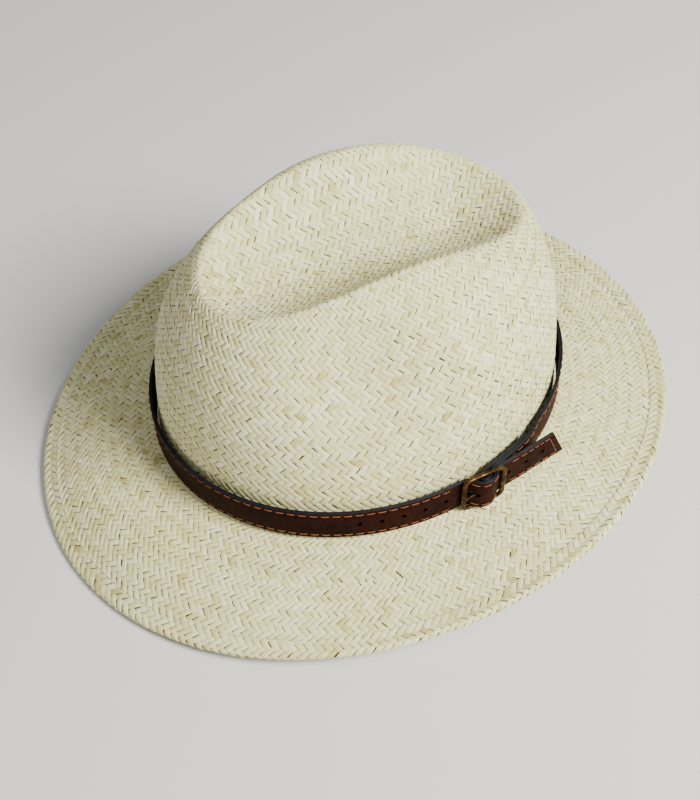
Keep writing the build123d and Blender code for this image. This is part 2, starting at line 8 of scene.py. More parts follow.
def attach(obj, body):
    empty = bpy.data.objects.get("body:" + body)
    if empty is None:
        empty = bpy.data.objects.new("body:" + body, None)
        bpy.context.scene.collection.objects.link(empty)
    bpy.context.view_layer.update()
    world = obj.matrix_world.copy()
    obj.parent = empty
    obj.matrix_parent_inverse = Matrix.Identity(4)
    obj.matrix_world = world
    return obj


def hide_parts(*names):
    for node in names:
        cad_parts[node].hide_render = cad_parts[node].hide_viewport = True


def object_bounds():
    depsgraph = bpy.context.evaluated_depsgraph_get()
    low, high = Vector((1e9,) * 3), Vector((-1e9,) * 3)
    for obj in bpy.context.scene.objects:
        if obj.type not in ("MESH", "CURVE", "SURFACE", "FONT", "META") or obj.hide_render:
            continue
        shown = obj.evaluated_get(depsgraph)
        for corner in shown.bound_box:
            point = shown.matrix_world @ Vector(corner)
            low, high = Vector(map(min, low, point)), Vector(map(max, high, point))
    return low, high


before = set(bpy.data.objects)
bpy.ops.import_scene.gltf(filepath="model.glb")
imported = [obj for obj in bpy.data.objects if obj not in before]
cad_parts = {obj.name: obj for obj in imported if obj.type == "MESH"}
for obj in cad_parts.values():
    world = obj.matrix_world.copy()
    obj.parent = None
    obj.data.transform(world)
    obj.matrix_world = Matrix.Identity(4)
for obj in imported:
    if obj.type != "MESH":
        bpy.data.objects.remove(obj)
cad_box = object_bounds()
MM = 0.001
TURN = 2 * math.pi

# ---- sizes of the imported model, in millimetres -----------------------------------------
CROWN_HALF_WIDTH, CROWN_HALF_LENGTH, STRAW = 88.0, 101.0, 1.6
RIDGE_HEIGHT = (112.0, 98.5, 92.0)        # sides, front, back
RIDGE_SPREAD = (40.0, 53.5, 66.0)
VALLEY = (86.0, 88.0, 79.0)
WALL_LEAN, SHOULDER_POWER = 0.23, 4.4
DENT_DEPTH, DENT_ANGLE, DENT_SPREAD, DENT_HEIGHT, DENT_REACH = 15.0, -30.0, 27.0, 76.0, 25.0
BRIM_SIDE, BRIM_ENDS = 49.0, 59.0
SLOPE, CURL = (-14.5, -6.0, -14.4), (6.5, -13.0, 4.0)
FOOT = 21.0
HEM_WIDTH = 7.0
SWEATBAND_HEIGHT, SWEATBAND, LINING, REED_DROP = 35.0, 1.1, 1.95, 1.4
BELT_WIDTH, PLY, BELT_GAP, BELT_LIFT, LAYER_GAP = 18.0, 0.75, 0.4, 2.0, 0.1
FOLD_REACH, TIP_REACH, TIP_SLANT, TIP_FLARE = 30.0, 45.0, 8.0, 9.5
HOLE_RADIUS, HOLE_PITCH, FIRST_HOLE_FRONT, FIRST_HOLE_TIP = 1.1, 10.0, 18.0, 4.5
HOLES_FRONT, HOLES_TIP = 5, 4
BUCKLE_ANGLE, BAR_SPACING, BAR_WIDTH, RAIL_WIDTH, BAR_THICKNESS = 5.3, 10.0, 2.4, 1.7, 1.8
CENTRE_BAR_RADIUS, BAR_FIT, BUCKLE_PLAY, BUCKLE_OPENING = 0.9, 0.1, 0.6, 18.8
RIVET_POSITION, RIVET_CAP_RADIUS, RIVET_CAP_HEIGHT = 22.0, 3.0, 1.0
FOCUS = math.sqrt(CROWN_HALF_LENGTH**2 - CROWN_HALF_WIDTH**2)
BELT_MIDDLE = FOOT + STRAW / 2 + BELT_LIFT + BELT_WIDTH / 2

UPWARD = np.array([0.0, 0.0, 1.0])

rng = np.random.default_rng(20)


# ---- camera ----------------------------------------------------------------------------
def aim(azimuth, elevation):
    """Direction from the hat towards an eye at that azimuth from the front and elevation."""
    a, e = math.radians(azimuth), math.radians(elevation)
    return Vector((math.sin(a) * math.cos(e), -math.cos(a) * math.cos(e), math.sin(e)))


CAMERA_AZIMUTH, CAMERA_ELEVATION, CAMERA_ROLL = 60.25, 49.86, -1.76
CAMERA_TARGET = Vector((2.71, -6.67, FOOT - 6.69)) * MM
CAMERA_DISTANCE, CAMERA_LENS = 588.8 * MM, 53.2
camera = bpy.data.objects.new("camera", bpy.data.cameras.new("camera"))
bpy.context.scene.collection.objects.link(camera)
camera.data.lens = CAMERA_LENS
camera.data.clip_start, camera.data.clip_end = 0.01, 20.0
camera.location = CAMERA_TARGET + aim(CAMERA_AZIMUTH, CAMERA_ELEVATION) * CAMERA_DISTANCE
camera.rotation_mode = "QUATERNION"
facing = (-aim(CAMERA_AZIMUTH, CAMERA_ELEVATION)).to_track_quat("-Z", "Y")
roll = Quaternion(facing @ Vector((0, 0, 1)), math.radians(CAMERA_ROLL))
camera.rotation_quaternion = roll @ facing
bpy.context.scene.camera = camera


# ---- meshes ----------------------------------------------------------------------------
def make_mesh(name, points, faces, materials, face_slot=None, values=None, body="hat",
              sharp=50.0):
    """An object from points in millimetres and arrays of faces, riding on a body."""
    points = np.asarray(points, float).reshape(-1, 3)
    faces = [np.asarray(block, int) for block in faces if len(block)]
    used = np.unique(np.concatenate([block.ravel() for block in faces]))
    place = np.full(len(points), -1)
    place[used] = np.arange(len(used))
    mesh = bpy.data.meshes.new(name)
    mesh.vertices.add(len(used))
    mesh.vertices.foreach_set("co", (points[used] * MM).astype(np.float32).ravel())
    corners = np.concatenate([place[block].ravel() for block in faces])
    sizes = np.concatenate([np.full(len(block), block.shape[1]) for block in faces])
    mesh.loops.add(len(corners))
    mesh.loops.foreach_set("vertex_index", corners.astype(np.int32))
    mesh.polygons.add(len(sizes))
    starts = np.concatenate([[0], np.cumsum(sizes)[:-1]])
    mesh.polygons.foreach_set("loop_start", starts.astype(np.int32))
    mesh.polygons.foreach_set("loop_total", sizes.astype(np.int32))
    if face_slot is not None:
        mesh.polygons.foreach_set("material_index", np.asarray(face_slot, np.int32))
    mesh.update(calc_edges=True)
    for key, value in (values or {}).items():
        layer = mesh.attributes.new(key, "FLOAT", "POINT")
        layer.data.foreach_set("value", np.asarray(value, np.float32).ravel()[used])
    mesh.shade_smooth()
    if sharp:
        mesh.set_sharp_from_angle(angle=math.radians(sharp))
    piece = bpy.data.objects.new(name, mesh)
    bpy.context.scene.collection.objects.link(piece)
    for material in materials if isinstance(materials, (list, tuple)) else [materials]:
        mesh.materials.append(material)
    if body:
        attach(piece, body)
    return piece


def grid_faces(rows, columns, wrap_rows=False, wrap_columns=False, start=0):
    """Quads between neighbours of a grid of points numbered row by row."""
    r = np.arange(rows if wrap_rows else rows - 1)
    c = np.arange(columns if wrap_columns else columns - 1)
    r, c = np.meshgrid(r, c, indexing="ij")
    r1, c1 = (r + 1) % rows, (c + 1) % columns
    quads = np.stack([r * columns + c, r1 * columns + c, r1 * columns + c1, r * columns + c1], -1)
    return quads.reshape(-1, 4) + start


def unit(directions):
    return directions / np.linalg.norm(directions, axis=-1, keepdims=True)


def level(direction):
    """Directions in plan as directions in space."""
    return np.concatenate([direction, 0 * direction[..., :1]], -1)


# ---- the straw's middle surface --------------------------------------------------------
def round_hat(values, a):
    """A size that runs smoothly round the hat from the sides to the front and back."""
    side, front, back = values
    ends = np.sin(a) ** 2
    return side * (1 - ends) + np.where(np.sin(a) > 0, back, front) * ends


def wall_spread(a, height):
    """Half width, on the oval scale, of the crown's wall at a height above its foot."""
    share = np.maximum(height, 0) / round_hat(RIDGE_HEIGHT, a)
    run = WALL_LEAN * share + (1 - WALL_LEAN) * share**SHOULDER_POWER
    folded = np.degrees(np.arcsin(np.sin(a)))
    across = np.exp(-(((folded - DENT_ANGLE) / DENT_SPREAD) ** 2)) * np.cos(a) ** 2
    dent = DENT_DEPTH * across * np.exp(-(((height - DENT_HEIGHT) / DENT_REACH) ** 2))
    return CROWN_HALF_WIDTH - (CROWN_HALF_WIDTH - round_hat(RIDGE_SPREAD, a)) * run - dent


def oval(spread, a, height):
    return np.stack([
        spread * np.cos(a), np.sqrt(spread**2 + FOCUS**2) * np.sin(a), height + FOOT,
    ], -1)


def even_angles(count, half_width, half_length):
    """Angles round an oval that step by equal lengths along it."""
    fine = np.linspace(0, TURN, 7201)
    speed = np.hypot(half_width * np.sin(fine), half_length * np.cos(fine))
    length = np.concatenate([[0], np.cumsum((speed[1:] + speed[:-1]) / 2)])
    return np.interp(np.arange(count) / count * length[-1], length, fine)


def outward_normals(points, side=1):
    """Unit directions square to a grid of points whose columns run round the hat."""
    looped = np.concatenate([points[-1:], points, points[:1]])
    normal = side * np.cross(looped[2:] - looped[:-2], np.gradient(points, axis=1))
    return unit(normal)


class Sheet:
    """A surface closed round the hat, looked up by strand steps round it and up it."""

    STEP = 0.1

    def __init__(self, points, strands, side=1, start=0, last=None):
        """points: columns round the hat by rows across it; strands: how many go round."""
        count, rows = points.shape[:2]
        looped = np.concatenate([points[-1:], points, points[:1]])
        around = np.linalg.norm(looped[2:] - looped[:-2], axis=2) / 2 * count
        along = np.linalg.norm(np.gradient(points, axis=1), axis=2)
        pace = along / around * strands
        climb = np.zeros((count, rows))
        climb[:, 1:] = np.cumsum((pace[:, 1:] + pace[:, :-1]) / 2, axis=1)
        climb -= climb[:, start:start + 1]
        self.strands, self.count = strands, count
        last = np.full(count, rows - 1) if last is None else last
        self.high = climb[np.arange(count), last]
        self.levels = np.arange(climb[:, 0].max(), self.high.max() + 2 * self.STEP, self.STEP)
        self.tables = [self.sampled(climb, points), self.sampled(climb, outward_normals(points, side))]

    def sampled(self, climb, values):
        return np.stack([
            np.stack([np.interp(self.levels, climb[k], values[k, :, n]) for n in range(3)], -1)
            for k in range(self.count)])

    def __call__(self, around, up):
        """Points and outward directions at strand steps round the hat and up the surface."""
        u = np.mod(around / self.strands, 1.0) * self.count
        v = np.clip((up - self.levels[0]) / self.STEP, 0, len(self.levels) - 1.001)
        k, m = np.floor(u).astype(int), np.floor(v).astype(int)
        s, t = (u - k)[..., None], (v - m)[..., None]
        k0, k1 = k % self.count, (k + 1) % self.count
        return [
            (table[k0, m] * (1 - t) + table[k0, m + 1] * t) * (1 - s)
            + (table[k1, m] * (1 - t) + table[k1, m + 1] * t) * s
            for table in self.tables]

    def below_top(self, around, up):
        u = np.mod(around / self.strands, 1.0) * self.count
        return up <= np.interp(u, np.arange(self.count + 1), np.append(self.high, self.high[0]))


def evened(profile, rows):
    """The same profiles with points at even steps along each."""
    steps = np.linalg.norm(np.diff(profile, axis=1), axis=2)
    lengths = np.concatenate([np.zeros((len(profile), 1)), np.cumsum(steps, axis=1)], axis=1)
    return np.stack([
        np.stack([
            np.interp(np.linspace(0, lengths[k, -1], rows), lengths[k], profile[k, :, n])
            for n in range(3)], -1)
        for k in range(len(profile))])


# crown: up the wall, over the ridge and down into the crease
COLUMNS, ROWS = 720, 260
RIDGE_SMOOTHING, SMOOTHING_REACH = 4.0, 24
CROWN_LOW = -2.0
angles = even_angles(COLUMNS, CROWN_HALF_WIDTH, CROWN_HALF_LENGTH)
column = angles[:, None]
ridge = round_hat(RIDGE_HEIGHT, column)
wall_height = CROWN_LOW + (ridge - CROWN_LOW) * np.linspace(0, 1, 240)[None, :]
inward = np.linspace(1, 0, 120)[None, 1:]
valley = round_hat(VALLEY, column)
profile = evened(np.concatenate([
    oval(wall_spread(column, wall_height), column, wall_height),
    oval(round_hat(RIDGE_SPREAD, column) * inward, column, valley + (ridge - valley) * inward**2),
], axis=1), ROWS)
spacing = np.linalg.norm(np.diff(profile, axis=1), axis=2).mean()
away = np.arange(-SMOOTHING_REACH, SMOOTHING_REACH + 1) * spacing
kernel = np.exp(-0.5 * (away / RIDGE_SMOOTHING) ** 2)
padded = np.concatenate([
    2 * profile[:, :1] - profile[:, SMOOTHING_REACH:0:-1],
    profile,
    2 * profile[:, -1:] - profile[:, -2:-SMOOTHING_REACH - 2:-1],
], axis=1)
crown = sum(share * padded[:, m:m + ROWS] for m, share in enumerate(kernel / kernel.sum()))
crown = crown - outward_normals(crown) * STRAW / 2
crest = crown[:, :, 2].argmax(axis=1)


def oval_spread(x, y):
    reach = x * x + y * y - FOCUS**2
    return np.sqrt((reach + np.sqrt(reach**2 + (2 * FOCUS * x) ** 2)) / 2)


SPREADS = np.linspace(0, 90, 361)
crown_spread = oval_spread(crown[:, :, 0], crown[:, :, 1])
top_heights = np.stack([
    np.interp(SPREADS, crown_spread[k, :crest[k] - 14:-1], crown[k, :crest[k] - 14:-1, 2])
    for k in range(COLUMNS)])
crest_spread = crown_spread[np.arange(COLUMNS), crest]


def top_place(x, y):
    """Column number and spread, on the crown's ovals, of a point of its top."""
    spread = oval_spread(x, y)
    a = np.arctan2(y * np.maximum(spread, 1e-6), x * np.sqrt(spread**2 + FOCUS**2))
    return np.interp(np.mod(a, TURN), np.append(angles, TURN), np.arange(COLUMNS + 1)), spread


def top_height(x, y):
    u, spread = top_place(x, y)
    k, v = np.floor(u).astype(int), np.clip(spread / SPREADS[1], 0, len(SPREADS) - 1.001)
    m = np.floor(v).astype(int)
    s, t = u - k, v - m
    k0, k1 = k % COLUMNS, (k + 1) % COLUMNS
    near = top_heights[k0, m] * (1 - t) + top_heights[k0, m + 1] * t
    far = top_heights[k1, m] * (1 - t) + top_heights[k1, m + 1] * t
    return near * (1 - s) + far * s


TOP_STRAND = 2.45


def top_surface(along, across):
    """The crown's top by plain strand steps front to back and side to side."""
    x, y, d = across * math.sqrt(2) * TOP_STRAND, along * math.sqrt(2) * TOP_STRAND, 0.6
    slope_x = (top_height(x + d, y) - top_height(x - d, y)) / (2 * d)
    slope_y = (top_height(x, y + d) - top_height(x, y - d)) / (2 * d)
    normal = np.stack([-slope_x, -slope_y, np.ones_like(x)], -1)
    normal = unit(normal)
    return [np.stack([x, y, top_height(x, y)], -1), normal]


TOP_LAP = 1.5


def inside_crest(along, across):
    u, spread = top_place(across * math.sqrt(2) * TOP_STRAND, along * math.sqrt(2) * TOP_STRAND)
    edge = np.interp(u, np.arange(COLUMNS + 1), np.append(crest_spread, crest_spread[0]))
    return spread < edge + TOP_LAP


# brim: out to the edge, round the wire, and back beneath as the hem
HEM_RAISE, HEM_DROP, ROLL_RADIUS, ROLL_RUN = 0.45, -0.6, 1.35, 3.2


def smooth_step(x):
    x = np.clip(x, 0, 1)
    return x * x * (3 - 2 * x)


def brim_middle(angle, share):
    """Points on the brim's middle layer; share is 0 at the crown and 1 at the edge."""
    c, s = np.cos(angle), np.sin(angle)
    inner = 1 / np.hypot(c / CROWN_HALF_WIDTH, s / CROWN_HALF_LENGTH)
    outer = 1 / np.hypot(c / (CROWN_HALF_WIDTH + BRIM_SIDE), s / (CROWN_HALF_LENGTH + BRIM_ENDS))
    ends = np.where(s < 0, s**2, s**4)
    slope = SLOPE[0] + (np.where(s < 0, SLOPE[1], SLOPE[2]) - SLOPE[0]) * ends
    curl = CURL[0] + (np.where(s < 0, CURL[1], CURL[2]) - CURL[0]) * ends
    out = np.maximum(share, 0)
    radius = inner + (outer - inner) * share
    return np.stack([radius * c, radius * s, FOOT + slope * out + curl * out**3], -1)


def brim_profile(angle, from_edge, offset):
    """Points at distances in from the edge, offset square to the brim's middle layer."""
    width = np.linalg.norm(brim_middle(angle, 1.0) - brim_middle(angle, 0.0), axis=-1)
    share = 1 - from_edge / width
    out = brim_middle(angle, share + 0.01) - brim_middle(angle, share - 0.01)
    out = unit(out)
    side = np.stack([-np.sin(angle), np.cos(angle), 0 * angle], -1) + 0 * out
    return brim_middle(angle, share) + np.cross(out, side) * offset[..., None], out


oval_angle = even_angles(COLUMNS, CROWN_HALF_WIDTH + BRIM_SIDE / 2, CROWN_HALF_LENGTH + BRIM_ENDS / 2)
brim_angle = np.arctan2(
    (CROWN_HALF_LENGTH + BRIM_ENDS / 2) * np.sin(oval_angle),
    (CROWN_HALF_WIDTH + BRIM_SIDE / 2) * np.cos(oval_angle))[:, None]
edge_width = np.linalg.norm(brim_middle(brim_angle, 1.0) - brim_middle(brim_angle, 0.0), axis=-1)
in_from_edge = edge_width * np.linspace(1.015, 0, 200)[None, :]
raised = HEM_RAISE * smooth_step((HEM_WIDTH + 0.6 - in_from_edge) / 1.2)
raised = raised + (ROLL_RADIUS - HEM_RAISE) * smooth_step(1 - in_from_edge / ROLL_RUN)
over_edge = brim_profile(brim_angle + 0 * in_from_edge, in_from_edge, raised)[0]
edge_point, edge_out = brim_profile(brim_angle, 0 * brim_angle, 0 * brim_angle)
edge_up = np.cross(edge_out, np.stack([-np.sin(brim_angle), np.cos(brim_angle), 0 * brim_angle], -1))
bend = np.radians(np.linspace(82, -82, 15))[None, :, None]
round_wire = edge_point + ROLL_RADIUS * (edge_out * np.cos(bend) + edge_up * np.sin(bend))
back_in = np.linspace(0, HEM_WIDTH + 0.4, 24)[None, :] + 0 * brim_angle
lowered = -ROLL_RADIUS + (ROLL_RADIUS + HEM_DROP) * smooth_step(back_in / ROLL_RUN)
beneath = brim_profile(brim_angle + 0 * back_in, back_in, lowered)[0]
BRIM_ROWS = 220
brim = evened(np.concatenate([over_edge, round_wire, beneath], axis=1), BRIM_ROWS)

# ---- weave -----------------------------------------------------------------------------
STRAND_SECTION = np.array([-0.5, -0.3, 0.0, 0.3, 0.5, 0.0])     # across, in strand widths
STRAND_HEIGHTS = np.array([0.0, 0.17, 0.22, 0.17, 0.0, -0.18])  # through, in millimetres
STRAND_RIDE = 0.28                                             # over and under, in millimetres
STEP_UP = 1 / 6
BREADTH, BREADTH_SPREAD = 0.91, 0.035       # a strand's width, in strand steps, and its variation
LOFT_SPREAD, DRIFT_SPREAD = 0.18, 0.045     # how unevenly strands stand up and wander
FLOAT_SQUARENESS, UNDER_PINCH = 2.4, 0.07   # how flat each float lies, and how much it narrows below
FLOAT_TONE, GRAIN_STEP = 0.65, 1.7          # share of the tone set float by float, and grain offset


def weave(name, surface, inside, sign, indices, low, high, material, pieces):
    """One of the two families of strands of a twill, each over two and under two."""
    levels = np.arange(low, high, STEP_UP)
    floats = int(high - low) + 4
    ring_size = len(STRAND_SECTION)
    across_range = np.arange(ring_size)
    for number, group in enumerate(np.array_split(np.asarray(indices), pieces)):
        up = levels[None, :] + 0.0 * group[:, None]
        phase = up - 0.25
        lane = np.floor(up + 0.25 - low).astype(int) + 1
        within = up + 0.25 - np.floor(up + 0.25)
        rows = np.arange(len(group))[:, None]
        loft = 1 + LOFT_SPREAD * rng.standard_normal((len(group), floats))
        drift = DRIFT_SPREAD * rng.standard_normal((len(group), floats + 1))
        tones = rng.random((len(group), floats))
        strand_tone = rng.random((len(group), 1))
        breadth = BREADTH + BREADTH_SPREAD * rng.standard_normal((len(group), 1)).clip(-2, 2)
        wave = np.tanh(FLOAT_SQUARENESS * np.cos(math.pi * phase)) / math.tanh(FLOAT_SQUARENESS) * sign
        ride = STRAND_RIDE * wave * np.where(wave > 0, loft[rows, lane], 1.0)
        wander = drift[rows, lane] * (1 - within) + drift[rows, lane + 1] * within
        width = breadth * (1 - UNDER_PINCH * (1 - wave) / 2)
        delta = STRAND_SECTION * width[..., None] + wander[..., None]
        around = (group[:, None] + sign * up)[..., None] + delta / 2
        points, normals = surface(around, up[..., None] - sign * delta / 2)
        points = points + normals * (ride[..., None] + STRAND_HEIGHTS)[..., None]
        good = inside(group[:, None] + sign * up, up)
        count, steps = up.shape
        base = (np.arange(count * steps) * ring_size).reshape(count, steps)
        pair = good[:, 1:] & good[:, :-1]
        a, b = base[:, :-1][pair], base[:, 1:][pair]
        turn = (across_range + 1) % ring_size
        sides = np.stack([
            a[:, None] + across_range, a[:, None] + turn, b[:, None] + turn, b[:, None] + across_range], -1)
        before = np.concatenate([np.zeros((count, 1), bool), pair], axis=1)
        after = np.concatenate([pair, np.zeros((count, 1), bool)], axis=1)
        starts, ends = base[after & ~before], base[before & ~after]
        caps = [starts[:, None] + across_range[::-1], ends[:, None] + across_range]
        sides = sides.reshape(-1, 4)
        probe = points.reshape(-1, 3)[sides[1]]
        facing = np.cross(probe[1] - probe[0], probe[3] - probe[0]) @ normals.reshape(-1, 3)[sides[1][0]]
        if facing < 0:
            sides, caps = sides[:, ::-1], [cap[:, ::-1] for cap in caps]
        shape = points.shape[:3]
        tone = FLOAT_TONE * tones[rows, lane] + (1 - FLOAT_TONE) * strand_tone
        values = {
            "tone": tone[..., None] + np.zeros(shape),
            "across": (group[:, None, None] * GRAIN_STEP + STRAND_SECTION) + np.zeros(shape),
            "along": up[..., None] + np.zeros(shape),
        }
        make_mesh(f"{name}_{number + 1}", points, [sides, caps[0], caps[1]], material,
                  values=values)


# ---- materials -------------------------------------------------------------------------
def srgb(red, green, blue):
    """A colour by its screen values from 0 to 255."""
    return tuple(
        v / 12.92 if v <= 0.04045 else ((v + 0.055) / 1.055) ** 2.4
        for v in (red / 255, green / 255, blue / 255)) + (1.0,)


class Shader:
    """A material's node tree, built node by node."""

    def __init__(self, name, **fixed):
        self.material = bpy.data.materials.new(name)
        self.material.use_nodes = True
        self.tree = self.material.node_tree
        self.surface = self.tree.nodes["Principled BSDF"]
        for socket, value in fixed.items():
            self.surface.inputs[socket.replace("_", " ")].default_value = value

    def node(self, kind, sockets=None, **settings):
        node = self.tree.nodes.new(kind)
        for key, value in settings.items():
            setattr(node, key, value)
        for key, value in (sockets or {}).items():
            if isinstance(value, bpy.types.NodeSocket):
                self.tree.links.new(value, node.inputs[key])
            else:
                node.inputs[key].default_value = value
        return node

    def attribute(self, name):
        return self.node("ShaderNodeAttribute", attribute_name=name).outputs["Fac"]

    def place(self):
        return self.node("ShaderNodeTexCoord").outputs["Object"]

    def noise(self, scale, detail=2.0, vector=None, roughness=0.5):
        return self.node("ShaderNodeTexNoise", {
            "Scale": scale, "Detail": detail, "Roughness": roughness,
            "Vector": self.place() if vector is None else vector}).outputs["Fac"]

    def cells(self, scale):
        """Distance to the edges of leather's cells."""
        return self.node("ShaderNodeTexVoronoi", {"Scale": scale, "Vector": self.place()},
                         feature="DISTANCE_TO_EDGE").outputs["Distance"]

    def wave(self, scale, direction, distortion=0.0, vector=None):
        return self.node("ShaderNodeTexWave", {
            "Scale": scale, "Distortion": distortion,
            "Vector": self.place() if vector is None else vector},
            bands_direction=direction).outputs["Fac"]

    def sum(self, operation, a, b, clamp=False):
        return self.node("ShaderNodeMath", {0: a, 1: b}, operation=operation, use_clamp=clamp).outputs[0]

    def ramp(self, factor, *stops):
        node = self.node("ShaderNodeValToRGB", {"Fac": factor})
        while len(node.color_ramp.elements) < len(stops):
            node.color_ramp.elements.new(0.5)
        for element, (where, colour) in zip(node.color_ramp.elements, stops):
            element.position, element.color = where, colour
        return node.outputs["Color"]

    def two_tone(self, factor, dark, light):
        return self.ramp(factor, (0.3, dark), (0.7, light))

    def scaled(self, factor, low, high, to_low=0.0, to_high=1.0):
        return self.node("ShaderNodeMapRange", {
            "Value": factor, "From Min": low, "From Max": high,
            "To Min": to_low, "To Max": to_high}).outputs["Result"]

    def mix(self, factor, a, b, blend="MIX"):
        node = self.node("ShaderNodeMix", data_type="RGBA", blend_type=blend)
        for key, value in ((0, factor), (6, a), (7, b)):
            if isinstance(value, bpy.types.NodeSocket):
                self.tree.links.new(value, node.inputs[key])
            else:
                node.inputs[key].default_value = value
        return node.outputs[2]

    def bump(self, height, distance, strength=1.0, before=None):
        sockets = {"Height": height, "Distance": distance * MM, "Strength": strength}
        if before is not None:
            sockets["Normal"] = before
        return self.node("ShaderNodeBump", sockets).outputs["Normal"]

    def finish(self, colour=None, roughness=None, normal=None):
        for key, value in (("Base Color", colour), ("Roughness", roughness), ("Normal", normal)):
            if isinstance(value, bpy.types.NodeSocket):
                self.tree.links.new(value, self.surface.inputs[key])
            elif value is not None:
                self.surface.inputs[key].default_value = value
        return self.material


def straw_material():
    s = Shader("straw", Specular_IOR_Level=0.35, Sheen_Weight=0.08, Sheen_Roughness=0.5)
    tone = s.attribute("tone")
    fibre_place = s.node("ShaderNodeCombineXYZ", {
        "X": s.sum("MULTIPLY", s.attribute("across"), 9.0),
        "Y": s.sum("MULTIPLY", s.attribute("along"), 1.4),
        "Z": s.sum("MULTIPLY", tone, 40.0)}).outputs[0]
    fibre = s.noise(1.0, 3.0, fibre_place)
    colour = s.ramp(
        tone, (0.0, srgb(190, 180, 104)), (0.16, srgb(222, 214, 150)),
        (0.55, srgb(241, 235, 180)), (1.0, srgb(254, 251, 212)))
    patches = s.scaled(s.noise(22.0, 2.0), 0.35, 0.7)
    colour = s.mix(s.sum("MULTIPLY", patches, 0.3), colour, srgb(222, 218, 136))
    colour = s.mix(1.0, colour, s.ramp(fibre, (0.3, srgb(236, 233, 222)), (0.62, srgb(255, 255, 255))),
                   "MULTIPLY")
    rough = s.scaled(fibre, 0.3, 0.7, 0.62, 0.46)
    return s.finish(colour, rough, s.bump(fibre, 0.05, 0.6))


def gap_shade_material():
    s = Shader("straw_core", Specular_IOR_Level=0.1)
    # painted shade: dark olive colour standing in for the shade seen in the gaps between strands
    colour = s.two_tone(s.noise(400.0, 2.0), srgb(44, 40, 14), srgb(78, 70, 30))
    return s.finish(colour, 0.9)


def leather_material():
    s = Shader("belt_leather", Specular_IOR_Level=0.05)
    grain = s.cells(1500.0)
    creases = s.noise(260.0, 4.0)
    tint = s.noise(45.0, 3.0)
    colour = s.two_tone(tint, srgb(24, 3, 4), srgb(42, 8, 8))
    colour = s.mix(s.scaled(grain, 0.0, 0.12, 0.35, 0.0), colour, srgb(22, 10, 10))
    rough = s.scaled(creases, 0.3, 0.7, 0.5, 0.7)
    normal = s.bump(s.scaled(grain, 0.0, 0.2), 0.05, 0.7)
    return s.finish(colour, rough, s.bump(creases, 0.12, 0.5, normal))


def edge_material():
    s = Shader("belt_edge_paint", Specular_IOR_Level=0.25)
    colour = s.ramp(s.noise(300.0, 3.0), (0.3, srgb(6, 7, 12)), (0.72, srgb(20, 23, 34)))
    rough = s.scaled(s.noise(500.0), 0.3, 0.7, 0.4, 0.6)
    return s.finish(colour, rough, s.bump(s.noise(900.0, 3.0), 0.08, 0.6))


def backing_material():
    s = Shader("belt_backing", Specular_IOR_Level=0.15)
    fuzz = s.noise(1400.0, 5.0)
    colour = s.two_tone(fuzz, srgb(8, 9, 13), srgb(24, 26, 34))
    return s.finish(colour, 0.85, s.bump(fuzz, 0.1, 0.7))


def thread_material(name, dark, light):
    s = Shader(name, Specular_IOR_Level=0.3, Sheen_Weight=0.15)
    twist_place = s.node("ShaderNodeCombineXYZ", {
        "X": s.attribute("across"), "Y": s.attribute("along")}).outputs[0]
    twist = s.wave(1.6, "DIAGONAL", 0.6, twist_place)
    return s.finish(s.ramp(twist, (0.15, dark), (0.75, light)), 0.7, s.bump(twist, 0.08, 0.7))


def brass_material():
    s = Shader("antique_brass", Metallic=1.0)
    wear = s.scaled(s.node("ShaderNodeNewGeometry").outputs["Pointiness"], 0.5, 0.6)
    patina = s.scaled(s.noise(330.0, 4.0), 0.35, 0.65)
    amount = s.sum("SUBTRACT", s.sum("ADD", wear, 0.35), s.sum("MULTIPLY", patina, 0.55), True)
    colour = s.ramp(amount, (0.0, srgb(40, 28, 19)), (0.45, srgb(84, 60, 37)), (1.0, srgb(150, 114, 70)))
    rough = s.scaled(amount, 0.0, 1.0, 0.6, 0.33)
    return s.finish(colour, rough, s.bump(s.noise(700.0, 3.0), 0.06, 0.5))


def lining_leather_material():
    s = Shader("sweatband_leather", Specular_IOR_Level=0.4)
    grain = s.cells(1100.0)
    colour = s.two_tone(s.noise(40.0, 4.0), srgb(126, 86, 56), srgb(158, 113, 76))
    colour = s.mix(s.scaled(grain, 0.0, 0.1, 0.25, 0.0), colour, srgb(78, 50, 33))
    return s.finish(colour, s.scaled(s.noise(200.0), 0.3, 0.7, 0.4, 0.55), s.bump(grain, 0.08, 0.8))


def ribbon_material():
    s = Shader("ribbon", Sheen_Weight=0.3, Sheen_Roughness=0.4)
    ribs = s.wave(420.0, "Z", 0.3)
    colour = s.two_tone(s.noise(500.0, 2.0), srgb(38, 22, 19), srgb(58, 34, 28))
    return s.finish(colour, 0.55, s.bump(ribs, 0.1, 0.6))


def label_material():
    s = Shader("label_cloth", Sheen_Weight=0.2)
    weave_height = s.sum("MULTIPLY", s.wave(520.0, "X"), s.wave(520.0, "Z"))
    colour = s.ramp(weave_height, (0.2, srgb(212, 207, 192)), (0.8, srgb(236, 232, 220)))
    return s.finish(colour, 0.8, s.bump(weave_height, 0.06, 0.6))


def wire_material():
    s = Shader("wire", Metallic=0.7)
    colour = s.two_tone(s.noise(600.0, 3.0), srgb(120, 118, 112), srgb(168, 166, 160))
    return s.finish(colour, s.scaled(s.noise(300.0), 0.3, 0.7, 0.35, 0.55))


def plastic_material():
    s = Shader("reed_plastic", Specular_IOR_Level=0.5)
    colour = s.two_tone(s.noise(300.0, 2.0), srgb(196, 190, 172), srgb(214, 209, 194))
    return s.finish(colour, s.scaled(s.noise(500.0), 0.3, 0.7, 0.35, 0.5))


